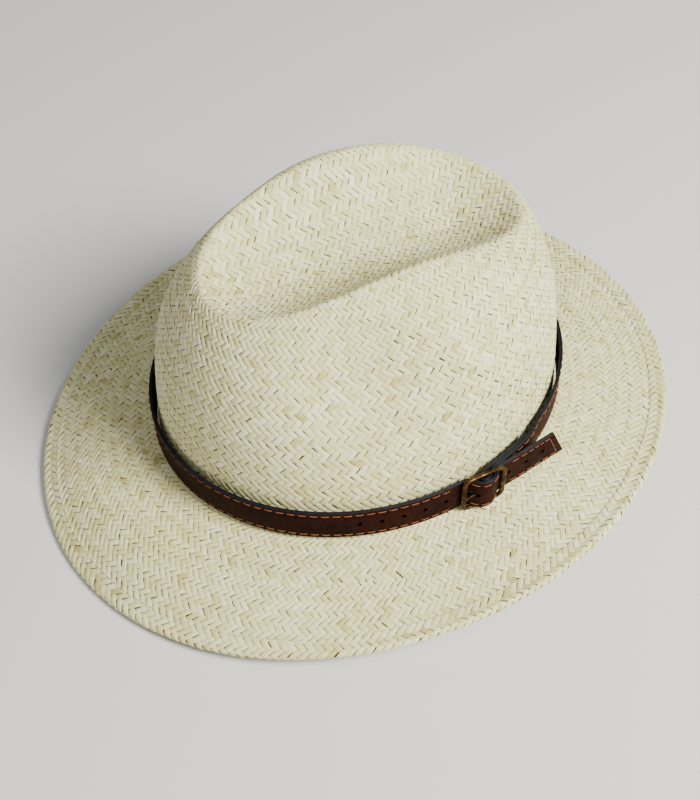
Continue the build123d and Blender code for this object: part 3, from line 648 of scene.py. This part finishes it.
straw, straw_core = straw_material(), gap_shade_material()
belt_leather, belt_edge, belt_backing = leather_material(), edge_material(), backing_material()
belt_thread = thread_material("belt_thread", srgb(80, 36, 16), srgb(156, 86, 42))
hem_thread = thread_material("hem_thread", srgb(196, 188, 150), srgb(232, 227, 200))
lining_thread = thread_material("lining_thread", srgb(96, 62, 40), srgb(150, 104, 70))
brass, lining_leather, ribbon = brass_material(), lining_leather_material(), ribbon_material()

# ---- straw -----------------------------------------------------------------------------
CROWN_STRANDS, INNER_BRIM_STRANDS, OUTER_BRIM_STRANDS = 140, 196, 236
TOP_REACH_ACROSS, TOP_REACH_ALONG = 80.0, 92.0
ZONE_SHARE = 0.42                           # where the brim takes up more strands
ZONE_LAP, ROWS_PAST_CREST = 5, 8


def all_round(name, sheet, pieces):
    """What weave needs for a sheet whose strands all start at its lower edge."""
    return name, sheet, sheet.below_top, range(sheet.strands), 0.0, float(sheet.high.max()), pieces


crown_rows = int(crest.max()) + ROWS_PAST_CREST
crown_sheet = Sheet(crown[:, :crown_rows], CROWN_STRANDS, 1, 0, crest + 1)
widest = TOP_REACH_ACROSS / (math.sqrt(2) * TOP_STRAND)
longest = TOP_REACH_ALONG / (math.sqrt(2) * TOP_STRAND)
outermost = int(widest + longest)
top_indices = np.arange(-outermost, outermost + 1)
reach = np.linalg.norm(brim[:, :, :2], axis=2).mean(axis=0)
zone_reach = np.linalg.norm(brim_middle(brim_angle[:, 0], ZONE_SHARE)[:, :2], axis=1).mean()
zone_row = int(np.argmin(np.abs(reach - zone_reach)))
inner_sheet = Sheet(brim[:, :zone_row + 2], INNER_BRIM_STRANDS, -1)
outer_sheet = Sheet(brim[:, zone_row + 2 - ZONE_LAP:], OUTER_BRIM_STRANDS, -1)
for woven in (
    [all_round("crown_straw", crown_sheet, 2)],
    [("crown_top_straw", top_surface, inside_crest, top_indices, -widest, widest, 1)],
    [all_round("inner_brim_straw", inner_sheet, 1), all_round("outer_brim_straw", outer_sheet, 2)],
):
    for sign, lean in ((1, "right"), (-1, "left")):
        for name, surface, inside, indices, low, high, pieces in woven:
            weave(f"{name}_{lean}", surface, inside, sign, indices, low, high, straw, pieces)

# the straw's thin inner layer, seen only as lines between the strands; its dark olive colour is painted shade
# for the gaps
CORE_HALF = 0.03


def core_shell(points, side):
    """A closed thin shell along a sheet of points that runs round the hat."""
    square = outward_normals(points, side) * CORE_HALF
    return np.concatenate([points + square, (points - square)[:, ::-1]], axis=1)


core_points, core_faces, core_count = [], [], 0
for surface, side in ((crown[::3, ::3], 1), (brim[::3, ::2], -1)):
    shell = core_shell(surface, side)
    faces = grid_faces(shell.shape[0], shell.shape[1], True, True, core_count)
    core_faces.append(faces if side > 0 else faces[:, ::-1])
    core_points.append(shell.reshape(-1, 3))
    core_count += shell.shape[0] * shell.shape[1]
core = make_mesh("straw_core", np.concatenate(core_points), core_faces, straw_core)
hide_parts("straw_body")


# ---- stitches --------------------------------------------------------------------------
STITCH_SIDES, STITCH_RINGS = 8, 9
STITCH_SINK = 0.5           # how far a stitch's ends go in, in thread radii


def stitch_row(name, place, centres, half_length, radius, material, body):
    """Separate stitches; place(run) gives points, outward directions and sides along a seam."""
    t = np.linspace(-1, 1, STITCH_RINGS)
    run = centres[:, None] + half_length * t[None, :]
    points, outward, across = place(run)
    fat = radius * np.sqrt(np.clip(1 - np.abs(t) ** 5, 0.04, 1))[None, :, None, None]
    rise = (radius * (1 - (1 + STITCH_SINK) * np.abs(t) ** 4))[None, :, None]
    turn = np.linspace(0, TURN, STITCH_SIDES, endpoint=False)
    ring = (outward[:, :, None] * np.sin(turn)[:, None] + across[:, :, None] * np.cos(turn)[:, None]) * fat
    points = (points + outward * rise)[:, :, None] + ring
    faces, caps = [], []
    for number in range(len(centres)):
        start = number * STITCH_RINGS * STITCH_SIDES
        faces.append(grid_faces(STITCH_RINGS, STITCH_SIDES, False, True, start))
        caps.append(start + np.arange(STITCH_SIDES))
        caps.append(start + (STITCH_RINGS - 1) * STITCH_SIDES + np.arange(STITCH_SIDES)[::-1])
    quads, caps = np.concatenate(faces), np.array(caps)
    a, b, c = points.reshape(-1, 3)[quads[0][:3]]
    if np.cross(b - a, c - a) @ (a - (points + 0 * ring)[0, 0].mean(axis=0)) < 0:
        quads, caps = quads[:, ::-1], caps[:, ::-1]
    shape = points.shape[:3]
    return make_mesh(name, points, [quads, caps], material, body=body, values={
        "along": run[:, :, None] + np.zeros(shape),
        "across": turn / TURN * 3 + np.zeros(shape)})


HEM_STITCH, HEM_PITCH, HEM_THREAD = 1.5, 4.0, 0.22


def hem_place(run):
    angle = run / (CROWN_HALF_WIDTH + BRIM_SIDE)
    points, out = brim_profile(angle, HEM_WIDTH - 0.3 + 0 * angle, HEM_RAISE + 0.28 + 0 * angle)
    side = np.stack([-np.sin(angle), np.cos(angle), 0 * angle], -1)
    return points, np.cross(out, side), out


hem_length = TURN * (CROWN_HALF_WIDTH + BRIM_SIDE)
hem_count = int(hem_length / HEM_PITCH)
hem = stitch_row("hem_stitches", hem_place, np.arange(hem_count) * hem_length / hem_count, HEM_STITCH,
                 HEM_THREAD, hem_thread, "hat")
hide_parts("brim_hem_thread")

# ---- belt ------------------------------------------------------------------------------
BUCKLE_TURN = math.radians(BUCKLE_ANGLE)
BELT_RUN = math.hypot(CROWN_HALF_WIDTH * math.sin(BUCKLE_TURN), CROWN_HALF_LENGTH * math.cos(BUCKLE_TURN))
FALL = BAR_SPACING**2 * CROWN_HALF_WIDTH * CROWN_HALF_LENGTH / (2 * BELT_RUN**3)
FIRST_LAYER = BELT_GAP + PLY
SECOND_LAYER = FIRST_LAYER + 2 * PLY + LAYER_GAP
THIRD_LAYER = SECOND_LAYER + 2 * PLY + LAYER_GAP
FRONT_BAR = FIRST_LAYER + PLY + BUCKLE_PLAY + BAR_THICKNESS / 2 - FALL
REAR_BAR = THIRD_LAYER + PLY + BUCKLE_PLAY + BAR_THICKNESS / 2 - FALL
CENTRE_BAR = (FRONT_BAR + REAR_BAR) / 2
FOLD_RADIUS = CENTRE_BAR_RADIUS + BAR_FIT + PLY
OVER_FOLD = CENTRE_BAR + FOLD_RADIUS + 2 * PLY + LAYER_GAP
FOLD_SETTLE, FRONT_LEAVE = 12.0, 16.0


def belt_frame(along):
    """Foot point, outward direction and run direction of the belt, in plan."""
    angle = BUCKLE_TURN + np.asarray(along, float) / BELT_RUN
    foot = np.stack([CROWN_HALF_WIDTH * np.cos(angle), CROWN_HALF_LENGTH * np.sin(angle)], -1)
    outward = np.stack([np.cos(angle) / CROWN_HALF_WIDTH, np.sin(angle) / CROWN_HALF_LENGTH], -1)
    outward = unit(outward)
    return foot, outward, np.stack([-outward[..., 1], outward[..., 0]], -1)


def belt_place(along, out):
    foot, outward, _ = belt_frame(along)
    return foot + outward * np.asarray(out, float)[..., None]


_, buckle_out, buckle_side = belt_frame(0.0)
buckle_middle = belt_place(0.0, CENTRE_BAR)
fold_turn = np.radians(np.linspace(-90, -270, 9))[1:-1, None]
fold = buckle_middle + FOLD_RADIUS * (buckle_side * np.cos(fold_turn) + buckle_out * np.sin(fold_turn))
fold_top = CENTRE_BAR + FOLD_RADIUS
inner_leg = belt_place([FOLD_REACH, 25.0, 20.0, 15.0, 10.0, 7.0, 3.5, 0.0],
                       [FIRST_LAYER] * 6 + [FIRST_LAYER + 0.6, CENTRE_BAR - FOLD_RADIUS])
descent = [SECOND_LAYER + (fold_top - SECOND_LAYER) * left for left in (1.0, 0.58, 0.22, 0.04)]
outer_leg = belt_place([0.0, 3.5, 5.5, 7.5, 10.0, 15.0, 20.0, 25.0, FOLD_REACH, FOLD_REACH + FOLD_SETTLE],
                       descent + [SECOND_LAYER] * 5 + [FIRST_LAYER])
round_crown = belt_place(np.linspace(FOLD_REACH + FOLD_SETTLE, TURN * BELT_RUN - FRONT_LEAVE, 90)[1:],
                         FIRST_LAYER + np.zeros(89))
laced = belt_place(
    [-10.0, -8.0, -4.6, -3.0, 0.0, 5.0, 8.0, 10.0, 12.0, RIVET_POSITION - RIVET_CAP_RADIUS,
     RIVET_POSITION + RIVET_CAP_RADIUS, TIP_REACH],
    [FIRST_LAYER, FIRST_LAYER + 0.3, CENTRE_BAR + 0.3, OVER_FOLD - 1.1, OVER_FOLD, OVER_FOLD - 1.4,
     THIRD_LAYER + 0.1, THIRD_LAYER, THIRD_LAYER + 0.15, THIRD_LAYER + RIVET_CAP_HEIGHT + 0.4,
     THIRD_LAYER + RIVET_CAP_HEIGHT + 1.6, THIRD_LAYER + TIP_FLARE])


class SmoothPath:
    """A twice smooth curve through points in plan, looked up by length along its chords."""

    def __init__(self, points):
        self.points = points
        self.knots = np.concatenate([[0], np.cumsum(np.linalg.norm(np.diff(points, axis=0), axis=1))])
        gap, step = np.diff(self.knots), np.diff(points, axis=0)
        count = len(points)
        system = np.eye(count)
        pull = np.zeros((count, 2))
        for k in range(1, count - 1):
            system[k, k - 1:k + 2] = gap[k - 1], 2 * (gap[k - 1] + gap[k]), gap[k]
            pull[k] = 6 * (step[k] / gap[k] - step[k - 1] / gap[k - 1])
        self.bends = np.linalg.solve(system, pull)
        self.length = self.knots[-1]

    def __call__(self, run):
        """Points, and directions to the right of travel."""
        k = np.clip(np.searchsorted(self.knots, run, side="right") - 1, 0, len(self.knots) - 2)
        gap = (self.knots[k + 1] - self.knots[k])[..., None]
        a = (self.knots[k + 1] - run)[..., None] / gap
        b = 1 - a
        p, q, m, n = self.points[k], self.points[k + 1], self.bends[k], self.bends[k + 1]
        place = a * p + b * q + ((a**3 - a) * m + (b**3 - b) * n) * gap**2 / 6
        travel = (q - p) / gap + ((3 * b**2 - 1) * n - (3 * a**2 - 1) * m) * gap / 6
        travel = unit(travel)
        return place, np.stack([travel[..., 1], -travel[..., 0]], -1)


strap = SmoothPath(np.concatenate([inner_leg, fold, outer_leg, round_crown, laced]))
OUTER_START = strap.knots[len(inner_leg) + len(fold)]
LACED_START = strap.knots[len(inner_leg) + len(fold) + len(outer_leg) + len(round_crown) - 1]
SLANT_RUN = 26.0


def on_strap(run, height, out):
    """Points of the strap: run along it, height from its middle, distance outside its middle."""
    late = smooth_step((run - strap.length + SLANT_RUN) / SLANT_RUN)
    run = run - late * TIP_SLANT * (height + BELT_WIDTH / 2) / BELT_WIDTH
    place, right = strap(run)
    place = place + right * out[..., None]
    return np.concatenate([place, (BELT_MIDDLE + height)[..., None]], -1), right


def section_loop(low, high, groove=0.0):
    """A ply's rounded cross-section as heights and distances out, with stitch grooves outside."""
    top = BELT_WIDTH / 2
    soft = (high - low) * 0.42
    face = np.array([-top + soft, -7.6, -7.2, -6.8, -6.4, -3.0, 0.0, 3.0, 6.4, 6.8, 7.2, 7.6, top - soft])
    sunk = np.where(np.abs(np.abs(face) - ROW) < 0.3, groove, 0.0)
    turn = np.radians(np.linspace(90, 0, 5))[1:-1]
    over = [(top - soft + soft * math.cos(t), high - soft + soft * math.sin(t)) for t in turn]
    under = [(h, low + high - o) for h, o in over[::-1]]
    back = [(h, low) for h in (top - soft, 3.0, -3.0, -top + soft)]
    return np.array([*zip(face, high - sunk), *over, (top, (low + high) / 2), *under, *back,
                     *[(-h, o) for h, o in under[::-1]], (-top, (low + high) / 2),
                     *[(-h, o) for h, o in over[::-1]]])


ROW = 7.0
FINE_STEP, COARSE_STEP, LACED_STEP, FINE_PAST_FOLD = 0.3, 1.5, 0.4, 14.0
runs = np.concatenate([
    np.arange(0, OUTER_START + FINE_PAST_FOLD, FINE_STEP),
    np.arange(OUTER_START + FINE_PAST_FOLD, LACED_START, COARSE_STEP),
    np.arange(LACED_START, strap.length - LACED_STEP / 2, LACED_STEP), [strap.length]])


def cut_with(piece, cutters):
    """The piece with closed cutters taken away from it."""
    tool = make_mesh("cutter", np.concatenate([points for points, _ in cutters]),
                     [np.concatenate([faces + sum(len(q) for q, _ in cutters[:k])
                                      for k, (_, faces) in enumerate(cutters)])],
                     belt_edge, body=None, sharp=0)
    change = piece.modifiers.new("cut", "BOOLEAN")
    change.operation, change.solver, change.object = "DIFFERENCE", "EXACT", tool
    bpy.context.view_layer.update()
    shaped = bpy.data.meshes.new_from_object(piece.evaluated_get(bpy.context.evaluated_depsgraph_get()))
    piece.modifiers.clear()
    piece.data = shaped
    bpy.data.objects.remove(tool)


def peg(centre, direction, start, end, radius, sides=24):
    """A round cutter from start to end along a level direction."""
    direction = level(direction)
    sideways = np.cross(direction, UPWARD)
    turn = np.linspace(0, TURN, sides, endpoint=False)[:, None]
    ring = radius * (np.cos(turn) * sideways + np.sin(turn) * UPWARD)
    points = np.concatenate([centre + direction * start + ring, centre + direction * end + ring,
                             [centre + direction * start], [centre + direction * end]])
    a, b = np.arange(sides), (np.arange(sides) + 1) % sides
    faces = np.concatenate([
        np.stack([a, a + sides, b], -1), np.stack([b, a + sides, b + sides], -1),
        np.stack([a, b, a * 0 + 2 * sides], -1), np.stack([b + sides, a + sides, a * 0 + 2 * sides + 1], -1)])
    return points, faces


def box(origin, x_axis, y_axis, xs, ys, half_height):
    """A box cutter in the plane of two level directions."""
    corners = [origin + np.append(x_axis * x + y_axis * y, z)
               for z in (-half_height, half_height) for x, y in
               ((xs[0], ys[0]), (xs[1], ys[0]), (xs[1], ys[1]), (xs[0], ys[1]))]
    quads = [(0, 1, 2), (0, 2, 3), (4, 6, 5), (4, 7, 6), (0, 5, 1), (0, 4, 5), (1, 6, 2), (1, 5, 6),
             (2, 7, 3), (2, 6, 7), (3, 4, 0), (3, 7, 4)]
    return np.array(corners), np.array(quads)


def run_at(along, first, last):
    """Run of the strap, between two runs, nearest to a distance along the belt."""
    tries = np.arange(first, last, 0.1)
    places, _ = strap(tries)
    return tries[np.linalg.norm(places - belt_place(along, THIRD_LAYER), axis=1).argmin()]


PRONG_RING, PRONG_SLOT, PRONG_RADIUS, PRONG_OVERHANG = 1.8, 2.3, 0.75, 2.0
prong_level = BAR_THICKNESS / 2 + BELT_GAP + PRONG_RADIUS - (CENTRE_BAR - FRONT_BAR)
buckle_origin = np.append(buckle_middle, BELT_MIDDLE)
hole_runs = [run_at(-FIRST_HOLE_FRONT - HOLE_PITCH * n, OUTER_START + 60, LACED_START + 4)
             for n in range(HOLES_FRONT)]
hole_runs += [run_at(FIRST_HOLE_TIP + HOLE_PITCH * n, LACED_START, strap.length) for n in range(HOLES_TIP)]
HOLE_PAST_BACK, HOLE_PAST_FACE = 0.2, 0.4
SLOT_ALONG, SLOT_IN, SLOT_PAST_FOLD = (-8.5, 1.9), -3.3, 0.06
cutters = []
for run in hole_runs:
    place, right = strap(np.array([run]))
    cutters.append(peg(np.append(place[0], BELT_MIDDLE), right[0], -PLY - HOLE_PAST_BACK,
                       PLY + HOLE_PAST_FACE, HOLE_RADIUS))
slot_through = (SLOT_IN, FOLD_RADIUS + PLY + SLOT_PAST_FOLD)
cutters.append(box(buckle_origin, buckle_side, buckle_out, SLOT_ALONG, slot_through, PRONG_SLOT / 2))
PLY_PARTING, GROOVE = 0.01, 0.12
for name, low, high, paint, node, groove in (
    ("strap_face", PLY_PARTING, PLY, belt_leather, "strap_face_leather", GROOVE),
    ("strap_backing", -PLY, -PLY_PARTING, belt_backing, "strap_backing_leather", 0.0),
):
    loop = section_loop(low, high, groove)
    grid, _ = on_strap(*np.broadcast_arrays(runs[:, None], loop[None, :, 0], loop[None, :, 1]))
    size = len(loop)
    quads = grid_faces(len(runs), size, False, True)[:, ::-1]
    caps = np.array([np.arange(size), (len(runs) - 1) * size + np.arange(size)[::-1]])
    edge = np.abs(loop[:, 0]) > BELT_WIDTH / 2 - 0.35
    painted = edge[np.arange(len(quads)) % size] & edge[(np.arange(len(quads)) + 1) % size]
    ply = make_mesh(name, grid, [quads, caps], [paint, belt_edge], body="belt",
                    face_slot=np.concatenate([painted.astype(int), [1, 1]]), sharp=38.0)
    cut_with(ply, cutters)
    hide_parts(node)

BELT_STITCH, BELT_STITCH_PITCH, BELT_THREAD = 2.05, 5.0, 0.24
TIP_ROW, TIP_STITCH_PITCH, FIRST_STITCH, BAR_ROOM, THREAD_SINK = 3.6, 4.65, 8.0, 0.3, 0.12


def strap_row(height):
    def place(run):
        points, right = on_strap(run, height + 0 * run, PLY - THREAD_SINK + 0 * run)
        return points, level(right), np.zeros_like(points) + UPWARD
    return place


def tip_row(height):
    points, right = on_strap(strap.length - TIP_ROW + 0 * height, height, PLY + 0 * height)
    return points, level(right), np.cross(level(right), UPWARD)


first_stitch = OUTER_START + FIRST_STITCH
count = int((strap.length - TIP_ROW - BELT_STITCH - first_stitch) / BELT_STITCH_PITCH)
centres = strap.length - TIP_ROW - BELT_STITCH - BELT_STITCH_PITCH * np.arange(count)
from_bar = strap(centres)[0] - buckle_middle
under_bar = np.abs(np.abs(from_bar @ buckle_side) - BAR_SPACING) < BELT_STITCH + BAR_WIDTH / 2 + BAR_ROOM
centres = centres[~(under_bar & (np.linalg.norm(from_bar, axis=1) < 2 * BAR_SPACING))]
for name, height in (("upper", ROW), ("lower", -ROW)):
    row = stitch_row(f"strap_stitches_{name}", strap_row(height), centres, BELT_STITCH, BELT_THREAD,
                     belt_thread, "belt")
    if height > 0:
        stitch_row("strap_stitches_tip", tip_row, TIP_STITCH_PITCH * np.arange(-1, 2), BELT_STITCH,
                   BELT_THREAD, belt_thread, "belt")
    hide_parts(f"strap_thread_{name}")

# ---- buckle and prong ------------------------------------------------------------------
buckle_tilt = math.atan2(REAR_BAR - FRONT_BAR, 2 * BAR_SPACING)
side3, out3 = level(buckle_side), level(buckle_out)
run3 = side3 * math.cos(buckle_tilt) + out3 * math.sin(buckle_tilt)
face3 = out3 * math.cos(buckle_tilt) - side3 * math.sin(buckle_tilt)


def by_bar(plan):
    """Distances along the belt and outwards at the centre bar, as steps in space."""
    return plan[..., :1] * side3 + plan[..., 1:] * out3


half_run = math.hypot(BAR_SPACING, (REAR_BAR - FRONT_BAR) / 2)
half_rise = (BUCKLE_OPENING + RAIL_WIDTH) / 2
CORNER, TUBE_SIDES, TUBE_ROUNDNESS = 3.0, 20, 0.7
corner_turn = np.radians(np.linspace(0, 90, 13))
path, normal_side = [], []
for quarter, (sx, sy) in enumerate(((1, 1), (-1, 1), (-1, -1), (1, -1))):
    turn = corner_turn + quarter * math.pi / 2
    path += list(np.stack([sx * (half_run - CORNER) + CORNER * np.cos(turn),
                           sy * (half_rise - CORNER) + CORNER * np.sin(turn)], -1))
    normal_side += list(np.stack([np.cos(turn), np.sin(turn)], -1))
path, normal_side = np.array(path), np.array(normal_side)
halves = BAR_WIDTH / 2 * np.abs(normal_side[:, :1]) ** 2 + RAIL_WIDTH / 2 * np.abs(normal_side[:, 1:]) ** 2
turn = np.linspace(0, TURN, TUBE_SIDES, endpoint=False)
soft_cos = np.sign(np.cos(turn)) * np.abs(np.cos(turn)) ** TUBE_ROUNDNESS
soft_sin = np.sign(np.sin(turn)) * np.abs(np.sin(turn)) ** TUBE_ROUNDNESS
flat = path[:, None] + normal_side[:, None] * (halves * soft_cos)[..., None]
grid = buckle_origin + flat[..., :1] * run3 + flat[..., 1:] * UPWARD + (
    BAR_THICKNESS / 2 * soft_sin)[None, :, None] * face3
frame_faces = grid_faces(len(path), TUBE_SIDES, True, True)
bar_turn = np.stack([np.cos(turn), np.sin(turn)], -1)
bar = np.concatenate([
    buckle_origin + CENTRE_BAR_RADIUS * by_bar(bar_turn) + z * UPWARD
    for z in (-half_rise, half_rise)])
start = grid.shape[0] * grid.shape[1]
bar_faces = grid_faces(2, TUBE_SIDES, False, True, start)
bar_caps = np.array([start + np.arange(TUBE_SIDES)[::-1], start + TUBE_SIDES + np.arange(TUBE_SIDES)])
buckle = make_mesh("buckle", np.concatenate([grid.reshape(-1, 3), bar]),
                   [frame_faces, bar_faces, bar_caps], brass, body="buckle")
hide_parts("buckle_frame")

PRONG_FIT, EYE_STEPS, ARM_STEPS, ARM_TAPER, ARM_END = 0.06, 36, 40, 0.3, 0.06
eye_middle = (PRONG_RING + CENTRE_BAR_RADIUS + PRONG_FIT) / 2
eye_half = (PRONG_RING - CENTRE_BAR_RADIUS - PRONG_FIT) / 2
round_eye = np.linspace(0, TURN, EYE_STEPS, endpoint=False)
eye_out = np.stack([np.cos(round_eye), np.sin(round_eye)], -1)
eye = buckle_origin + (eye_middle + eye_half * soft_cos)[None, :, None] * by_bar(eye_out)[:, None]
eye = eye + (PRONG_RADIUS * soft_sin)[None, :, None] * UPWARD
arm_share = np.linspace(0, 1, ARM_STEPS)[:, None]
arm_from = np.array([-(CENTRE_BAR_RADIUS + PRONG_RING) / 2, prong_level * 0.5])
arm_to = np.array([-BAR_SPACING - PRONG_OVERHANG, prong_level])
arm_middle = arm_from + (arm_to - arm_from) * arm_share
rounded_end = np.sqrt(np.clip((1.02 - arm_share) / ARM_END, 0.02, 1))
arm_radius = PRONG_RADIUS * (1 - ARM_TAPER * arm_share) * rounded_end
arm_section = np.cos(turn)[:, None] * UPWARD + np.sin(turn)[:, None] * out3
arm = buckle_origin + by_bar(arm_middle)[:, None] + arm_radius[:, :, None] * arm_section
start = eye.shape[0] * eye.shape[1]
arm_end = start + (ARM_STEPS - 1) * TUBE_SIDES
arm_caps = np.array([start + np.arange(TUBE_SIDES), arm_end + np.arange(TUBE_SIDES)[::-1]])
prong = make_mesh("prong", np.concatenate([eye.reshape(-1, 3), arm.reshape(-1, 3)]),
                  [grid_faces(EYE_STEPS, TUBE_SIDES, True, True)[:, ::-1],
                   grid_faces(ARM_STEPS, TUBE_SIDES, False, True, start)[:, ::-1], arm_caps],
                  brass, body="prong")
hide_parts("buckle_prong")

# ---- sweatband, bow and label ----------------------------------------------------------
REED_RADIUS, REED_FIT, SEAM_HEIGHT = 0.9, 0.05, 4.0
roll_middle = CROWN_HALF_WIDTH - LINING - REED_RADIUS - REED_FIT - SWEATBAND
roll_line = REED_RADIUS + REED_FIT + SWEATBAND / 2
band_angles = even_angles(360, CROWN_HALF_WIDTH, CROWN_HALF_LENGTH)
heights = np.concatenate([np.linspace(SWEATBAND_HEIGHT, 3, 30), np.linspace(2.2, -REED_DROP, 5)])
embossed = 0.14 * np.exp(-(((heights - 30.5) / 0.5) ** 2))
roll_turn = np.radians(np.linspace(0, -300, 26))[1:]
wall_line = wall_spread(band_angles[:, None], heights[None, :] + STRAW) - LINING - SWEATBAND / 2
ripple = 0.12 * (np.sin(9 * band_angles + 0.6) + np.sin(14 * band_angles))[:, None]
wall_line = wall_line - (0.12 + ripple * 0.5) * smooth_step((heights - 8) / 20)[None, :]
no_change = 0 * band_angles[:, None]
roll_spreads = roll_middle + roll_line * np.cos(roll_turn)[None, :] + no_change
roll_heights = -REED_DROP + roll_line * np.sin(roll_turn)
line = np.stack([
    np.concatenate([wall_line, roll_spreads], axis=1),
    np.concatenate([heights, roll_heights])[None, :] + no_change], -1)
travel = np.gradient(line, axis=1)
travel = unit(travel)
inward_side = np.stack([travel[..., 1], -travel[..., 0]], -1)
thin = np.concatenate([embossed, 0 * roll_turn])[None, :, None]
inner_skin = line + inward_side * (SWEATBAND / 2 - thin)
outer_skin = line - inward_side * SWEATBAND / 2
loop = np.concatenate([inner_skin, outer_skin[:, ::-1]], axis=1)
band = oval(loop[..., 0], band_angles[:, None], loop[..., 1])
sweatband = make_mesh("sweatband_lining", band, [grid_faces(360, loop.shape[1], True, True)],
                      lining_leather)
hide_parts("sweatband")


def seam_place(run):
    angle = run / CROWN_HALF_LENGTH
    spread = wall_spread(angle, SEAM_HEIGHT + STRAW) - LINING - SWEATBAND - 0.05
    points = oval(spread, angle, SEAM_HEIGHT + 0 * angle)
    outward = -points * (1, 1, 0)
    outward = unit(outward)
    return points, outward, np.zeros_like(points) + UPWARD


seam_length = TURN * CROWN_HALF_LENGTH
seam = stitch_row("sweatband_stitches", seam_place, np.arange(150) * seam_length / 150, 1.6, 0.25,
                  lining_thread, "hat")
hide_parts("sweatband_thread")

BOW_HALF_WIDTH, BOW_LEVEL, BOW_HEIGHT, BOW_CLOTH = 13.0, 12.0, 7.0, 0.35
bow_spread = wall_spread(math.pi / 2, BOW_LEVEL + STRAW) - LINING - SWEATBAND - 0.3
bow_y = float(math.sqrt(bow_spread**2 + FOCUS**2) * math.sqrt(1 - (BOW_HALF_WIDTH / bow_spread) ** 2))
bow_turn = np.linspace(0, TURN, 48, endpoint=False)
across_bow = np.linspace(-1, 1, 9)
points, faces, begun = [], [], 0
for hand in (-1, 1):
    pinch = 1 - 0.45 * np.cos(bow_turn / 2) ** 6
    x = hand * BOW_HALF_WIDTH * (1 - np.cos(bow_turn)) / 2
    y = bow_y - 1.5 - 1.1 * np.sin(bow_turn) * (1 - np.cos(bow_turn)) / 2
    skins = []
    for grow in (BOW_CLOTH / 2, -BOW_CLOTH / 2):
        ring = np.stack([x - hand * grow * np.cos(bow_turn), y - grow * np.sin(bow_turn)], -1)
        z = FOOT + BOW_LEVEL + across_bow[None, :] * BOW_HEIGHT / 2 * pinch[:, None]
        skins.append(np.concatenate([ring[:, None] + 0 * z[..., None], z[..., None]], -1))
    loop = np.concatenate([skins[0], skins[1][:, ::-1]], axis=1)
    quads = grid_faces(48, loop.shape[1], True, True, begun)
    faces.append(quads if hand > 0 else quads[:, ::-1])
    points.append(loop.reshape(-1, 3))
    begun += loop.shape[0] * loop.shape[1]
knot = np.stack([2.0 * soft_cos[None, :] * np.sqrt(1 - 0.3 * across_bow[:, None] ** 2),
                 bow_y - 1.6 + 1.4 * soft_sin[None, :] * np.sqrt(1 - 0.3 * across_bow[:, None] ** 2),
                 FOOT + BOW_LEVEL + across_bow[:, None] * BOW_HEIGHT * 0.36 + 0 * soft_cos[None, :]], -1)
points.append(knot.reshape(-1, 3))
faces.append(grid_faces(9, TUBE_SIDES, False, True, begun)[:, ::-1])
knot_caps = np.array([begun + np.arange(TUBE_SIDES)[::-1], begun + 8 * TUBE_SIDES + np.arange(TUBE_SIDES)])
bow = make_mesh("bow", np.concatenate(points), [np.concatenate(faces), knot_caps], ribbon)
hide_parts("sweatband_bow")

LABEL_WIDTH, LABEL_HEIGHT, LABEL_LEVEL, LABEL_CLOTH, LABEL_BORDER = 24.0, 12.0, 20.0, 0.5, 1.2
xs, zs = np.linspace(-1, 1, 49), np.linspace(-1, 1, 25)
gx, gz = np.meshgrid(xs * LABEL_WIDTH / 2, zs * LABEL_HEIGHT / 2, indexing="ij")
from_border = np.minimum(LABEL_WIDTH / 2 - np.abs(gx), LABEL_HEIGHT / 2 - np.abs(gz))
raised_edge = 0.16 * np.exp(-(((from_border - LABEL_BORDER) / 0.4) ** 2))
label_spread = wall_spread(-math.pi / 2 + 0 * gx, LABEL_LEVEL + gz + STRAW) - LINING - SWEATBAND - 0.15
label_back = -np.sqrt(label_spread**2 + FOCUS**2) * np.sqrt(1 - (gx / label_spread) ** 2)
front = np.stack([gx, label_back + LABEL_CLOTH + raised_edge, FOOT + LABEL_LEVEL + gz], -1)
rear = np.stack([gx, label_back, FOOT + LABEL_LEVEL + gz], -1)
loop = np.concatenate([front, rear[:, ::-1]], axis=1)
size = loop.shape[1]
strip = grid_faces(49, size, False, True)
ends = np.array([np.arange(size), 48 * size + np.arange(size)[::-1]])
label = make_mesh("label", loop, [strip[:, ::-1], ends[:, ::-1]], label_material())
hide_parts("size_label")

for node, material in (("brim_edge_wire", wire_material()), ("sweatband_reed", plastic_material()),
                       ("rivet_cap", brass), ("rivet_post", brass)):
    shown = bpy.data.objects[node]
    shown.data.materials.clear()
    shown.data.materials.append(material)

# ---- floor and light -------------------------------------------------------------------
floor_low = cad_box[0].z / MM
FLOOR_REACH = 4000.0
corners = [(x * FLOOR_REACH, y * FLOOR_REACH, floor_low) for x, y in ((-1, -1), (1, -1), (1, 1), (-1, 1))]
floor_paint = Shader("floor").finish(srgb(226, 225, 222), 0.9)
floor = make_mesh("floor", corners, [np.array([[0, 1, 2, 3]])], floor_paint, body=None, sharp=0)


def softbox(name, azimuth, elevation, distance, size, power, colour):
    lamp = bpy.data.lights.new(name, "AREA")
    lamp.shape, lamp.size, lamp.energy, lamp.color = "SQUARE", size, power, colour
    holder = bpy.data.objects.new(name, lamp)
    bpy.context.scene.collection.objects.link(holder)
    holder.location = aim(azimuth, elevation) * distance
    holder.rotation_mode = "QUATERNION"
    holder.rotation_quaternion = aim(azimuth, elevation).to_track_quat("Z", "Y")


softbox("key", 118, 44, 1.6, 0.6, 54.0, (1.0, 0.985, 0.93))
softbox("fill", 20, 70, 1.8, 1.4, 7.0, (0.98, 0.98, 1.0))
world = bpy.data.worlds.new("studio")
world.use_nodes = True
world.node_tree.nodes["Background"].inputs["Color"].default_value = (0.9, 0.93, 1.0, 1.0)
world.node_tree.nodes["Background"].inputs["Strength"].default_value = 0.2
bpy.context.scene.world = world
